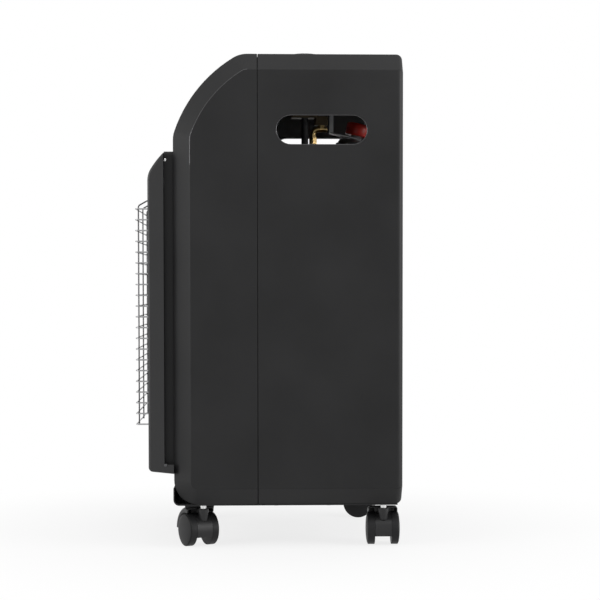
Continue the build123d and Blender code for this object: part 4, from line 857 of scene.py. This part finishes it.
def make_knob():
    """Skirt, scalloped grip and a raised pointer bar towards the burner."""
    knob = turned("knob_grip", [
        (0.0190, knob_bottom), (0.0226, knob_bottom), (0.0230, knob_bottom + 0.0004),
        (0.0230, knob_bottom + 0.0016), (0.0224, knob_bottom + 0.0024), (0.0222, knob_bottom + 0.0044),
        (0.0219, knob_top - 0.0020), (0.0214, knob_top - 0.0009), (0.0204, knob_top - 0.0002),
        (0.0192, knob_top), (0.0150, knob_top - 0.0003), (0.0020, knob_top - 0.0003),
    ], knob_corners)
    edit(knob, "VERT")
    pick_corners(knob, lambda place: place.z > knob_bottom + 0.004 and place.xy.length > 0.018
                 and round(heading_of(place) / (360 / knob_corners)) % scallop_every == 0)
    bpy.ops.transform.resize(value=(scallop_share, scallop_share, 1), center_override=(0, 0, knob_top))
    leave()
    bar = block("knob_bar", (-0.0011, -0.0185, knob_top - 0.0008), (0.0011, -0.0040, knob_top - 0.00005))
    round_edges(bar, 0.0004, 2)
    for piece in (knob, bar):
        move(piece, Matrix.Translation((0, control_y, 0)))
    fit(knob, "control_knob", knob_moulding, ["control_knob"], 40)
    fit(bar, "control_knob", glazed_ceramic)


def make_igniter():
    """A round push button with a slightly dished top."""
    collar = cabinet_top + plate_thickness + igniter_collar
    button = turned("igniter_cap", [
        (0.0074, collar - 0.007), (0.0075, collar - 0.0068), (0.0075, collar + 0.0080),
        (0.0073, collar + 0.0090), (0.0068, collar + 0.0097), (0.0060, collar + 0.0100),
        (0.0045, collar + 0.0097), (0.0020, collar + 0.0095),
    ], 48)
    move(button, Matrix.Translation((igniter_x, control_y, 0)))
    fit(button, "igniter_button", knob_moulding, ["igniter_button"], 40)


# ------------------------------------------------------------------------------------------
# Regulator and its lever
# ------------------------------------------------------------------------------------------
boss_circle = 0.0262
boss_count = 6
tail_place = (0, 0, -0.018)
tail_heading = 205
grip_half = 0.0042


def shape_regulator():
    """Round housing with its clamped rim, six screw bosses and the hose tail."""
    body = turned("regulator_housing", [
        (0.0235, -0.0330), (0.0256, -0.0324), (0.0268, -0.0308), (0.0270, -0.0290), (0.0270, -0.0214),
        (0.0282, -0.0210), (0.0285, -0.0204), (0.0285, -0.0186), (0.0282, -0.0180), (0.0270, -0.0176),
        (0.0268, -0.0140), (0.0258, -0.0112), (0.0236, -0.0088), (0.0205, -0.0073), (0.0185, -0.0070),
        (0.0095, -0.0068), (0.0090, -0.0062), (0.0090, 0.0010),
    ], 72)
    boss = turned("regulator_screw_boss", [
        (0.0030, -0.0216), (0.0034, -0.0213), (0.0034, -0.0170), (0.0030, -0.0166), (0.0022, -0.0166),
        (0.0022, -0.0160), (0.0018, -0.0157),
    ], 20)
    move(boss, Matrix.Translation((boss_circle, 0, 0)))
    ring = [copy_of(boss, "screw_boss", turn("Z", 360 / boss_count * i + 30)) for i in range(boss_count)]
    bpy.data.objects.remove(boss)
    tail = turned("regulator_tail", [
        (0.0060, 0.020), (0.0060, 0.0270), (0.0064, 0.0275), (0.0064, 0.0300), (0.0056, 0.0318),
        (0.0056, 0.0340),
    ], 32)
    move(tail, turn("Z", tail_heading, tail_place) @ turn("Y", 90))
    return join([body, *ring, tail])


def shape_lever():
    """A round switch cap with a grip bar left standing between two pockets."""
    lever = turned("regulator_switch", [
        (0.0170, 0.0010), (0.0183, 0.0013), (0.01875, 0.0022), (0.01875, 0.0180), (0.0182, 0.0198),
        (0.0168, 0.0208), (0.0150, 0.0210),
    ], 72)
    pockets = turned("switch_pockets", [(0.0146, 0.0130), (0.0152, 0.0240)], 64)
    combine(pockets, block("grip_bar", (-0.02, -grip_half, 0.01), (0.02, grip_half, 0.03)), "DIFFERENCE")
    combine(lever, pockets, "DIFFERENCE")
    round_edges(lever, 0.0005, 2, 45)
    return lever


def make_regulator():
    """Housing and lever, tilted with the regulator on its hanger."""
    stand = Matrix.Translation(regulator_place) @ Matrix.Rotation(-regulator_tilt, 4, "X")
    housing = shape_regulator()
    move(housing, stand)
    fit(housing, "cabinet", cast_zinc, ["regulator_body"], 38)
    lever = shape_lever()
    move(lever, stand)
    fit(lever, "regulator_lever", red_lever, ["regulator_lever"], 38)


# ------------------------------------------------------------------------------------------
# Gas hose: from the regulator's tail, down round the bay and up to the inlet
# ------------------------------------------------------------------------------------------
hose_points = [
    (-0.07081, 0.12545, 0.62369), (-0.098, 0.1131, 0.62655), (-0.128, 0.101, 0.614), (-0.1495, 0.0925, 0.585),
    (-0.157, 0.0865, 0.549), (-0.1495, 0.0815, 0.513), (-0.1265, 0.078, 0.484), (-0.093, 0.0755, 0.4685),
    (-0.057, 0.074, 0.4685), (-0.026, 0.073, 0.4855), (-0.008, 0.0723, 0.5165), (-0.0015, 0.072, 0.552),
    (0, 0.072, 0.588), (0, 0.072, 0.622),
]
hose_radius = 0.0065


def lay_hose():
    """One smooth curve through the hose's route, as thick as the hose."""
    route = bpy.data.curves.new("gas_hose_run", "CURVE")
    route.dimensions = "3D"
    spline = route.splines.new("NURBS")
    spline.points.add(len(hose_points) - 1)
    for point, place in zip(spline.points, hose_points):
        point.co = (*place, 1)
    spline.order_u = 3
    spline.use_endpoint_u = True
    spline.resolution_u = 12
    route.bevel_depth = hose_radius
    route.bevel_resolution = 6
    route.use_fill_caps = True
    hose = bpy.data.objects.new("gas_hose_run", route)
    scene.collection.objects.link(hose)
    route.materials.append(hose_rubber)
    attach(hose, "cabinet")
    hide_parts("gas_hose")


# ------------------------------------------------------------------------------------------
# Floor, surround and lights
# ------------------------------------------------------------------------------------------
floor_size = 40
floor_fade_start = 0.25
floor_fade_end = 0.75
floor_white_share = 0.8
room_light = 0.55


def seen_white(tree):
    """1 for camera, mirror and glass rays, which show white, and 0 for the rest."""
    seen = tree.nodes.new("ShaderNodeLightPath")
    total = seen.outputs["Is Camera Ray"]
    for label in ("Is Glossy Ray", "Is Transmission Ray"):
        more = tree.nodes.new("ShaderNodeMath")
        more.operation = "MAXIMUM"
        tree.links.new(total, more.inputs[0])
        tree.links.new(seen.outputs[label], more.inputs[1])
        total = more.outputs["Value"]
    return total


def set_stage():
    """Pale floor that shows the heater's shadow and fades to white away from it."""
    bpy.ops.object.select_all(action="DESELECT")
    bpy.ops.mesh.primitive_plane_add(size=floor_size, location=(0, 0, 0))
    floor = bpy.context.active_object
    floor.name = "studio_floor"
    paint = bpy.data.materials.new("studio_floor_paint")
    paint.use_nodes = True
    tree = paint.node_tree
    shader = tree.nodes["Principled BSDF"]
    shader.inputs["Base Color"].default_value = (0.86, 0.86, 0.86, 1)
    shader.inputs["Roughness"].default_value = 0.8
    shader.inputs["Specular IOR Level"].default_value = 0.1
    white = tree.nodes.new("ShaderNodeEmission")
    white.inputs["Color"].default_value = (1, 1, 1, 1)
    white.inputs["Strength"].default_value = 1.0
    place = tree.nodes.new("ShaderNodeTexCoord")
    reach = tree.nodes.new("ShaderNodeVectorMath")
    reach.operation = "LENGTH"
    tree.links.new(place.outputs["Object"], reach.inputs[0])
    fade = tree.nodes.new("ShaderNodeMapRange")
    fade.interpolation_type = "SMOOTHSTEP"
    fade.inputs["From Min"].default_value = floor_fade_start
    fade.inputs["From Max"].default_value = floor_fade_end
    fade.inputs["To Min"].default_value = floor_white_share
    tree.links.new(reach.outputs["Value"], fade.inputs["Value"])
    shown = tree.nodes.new("ShaderNodeMath")
    shown.operation = "MULTIPLY"
    tree.links.new(fade.outputs["Result"], shown.inputs[0])
    tree.links.new(seen_white(tree), shown.inputs[1])
    blend = tree.nodes.new("ShaderNodeMixShader")
    tree.links.new(shown.outputs["Value"], blend.inputs["Fac"])
    tree.links.new(shader.outputs["BSDF"], blend.inputs[1])
    tree.links.new(white.outputs["Emission"], blend.inputs[2])
    tree.links.new(blend.outputs["Shader"], tree.nodes["Material Output"].inputs["Surface"])
    floor.data.materials.append(paint)


def set_surround():
    """White where it is seen or mirrored, and an even dimmer light on everything else."""
    world = bpy.data.worlds.new("studio_room")
    scene.world = world
    world.use_nodes = True
    tree = world.node_tree
    room = tree.nodes["Background"]
    room.inputs["Color"].default_value = (1, 1, 1, 1)
    room.inputs["Strength"].default_value = room_light
    white = tree.nodes.new("ShaderNodeBackground")
    white.inputs["Color"].default_value = (1, 1, 1, 1)
    white.inputs["Strength"].default_value = 1.0
    blend = tree.nodes.new("ShaderNodeMixShader")
    tree.links.new(seen_white(tree), blend.inputs["Fac"])
    tree.links.new(room.outputs["Background"], blend.inputs[1])
    tree.links.new(white.outputs["Background"], blend.inputs[2])
    tree.links.new(blend.outputs["Shader"], tree.nodes["World Output"].inputs["Surface"])


def hang_softbox(name, place, aim, size, power):
    """A square area lamp at place, turned to aim."""
    lamp = bpy.data.lights.new(name, "AREA")
    lamp.shape = "SQUARE"
    lamp.size = size
    lamp.energy = power
    holder = bpy.data.objects.new(name, lamp)
    holder.location = place
    holder.rotation_euler = (Vector(aim) - Vector(place)).to_track_quat("-Z", "Y").to_euler()
    scene.collection.objects.link(holder)


dress_solids()
make_castors()
make_guard()
make_neck_screws()
make_slot_beads()
make_fold_and_seam()
make_knob()
make_igniter()
make_regulator()
lay_hose()
set_camera()
set_stage()
set_surround()
hang_softbox("overhead_softbox", place=(0.3, 0.0, 2.6), aim=(0, 0, 0.3), size=2.4, power=7)
hang_softbox("front_softbox", place=(1.2, -2.4, 0.9), aim=(0, 0, 0.35), size=1.6, power=36)
hang_softbox("rear_softbox", place=(1.0, 2.6, 0.9), aim=(0, 0, 0.35), size=1.6, power=54)
hang_softbox("side_softbox", place=(1.9, 0.2, 2.2), aim=(0.2, 0, 0.6), size=1.2, power=8)
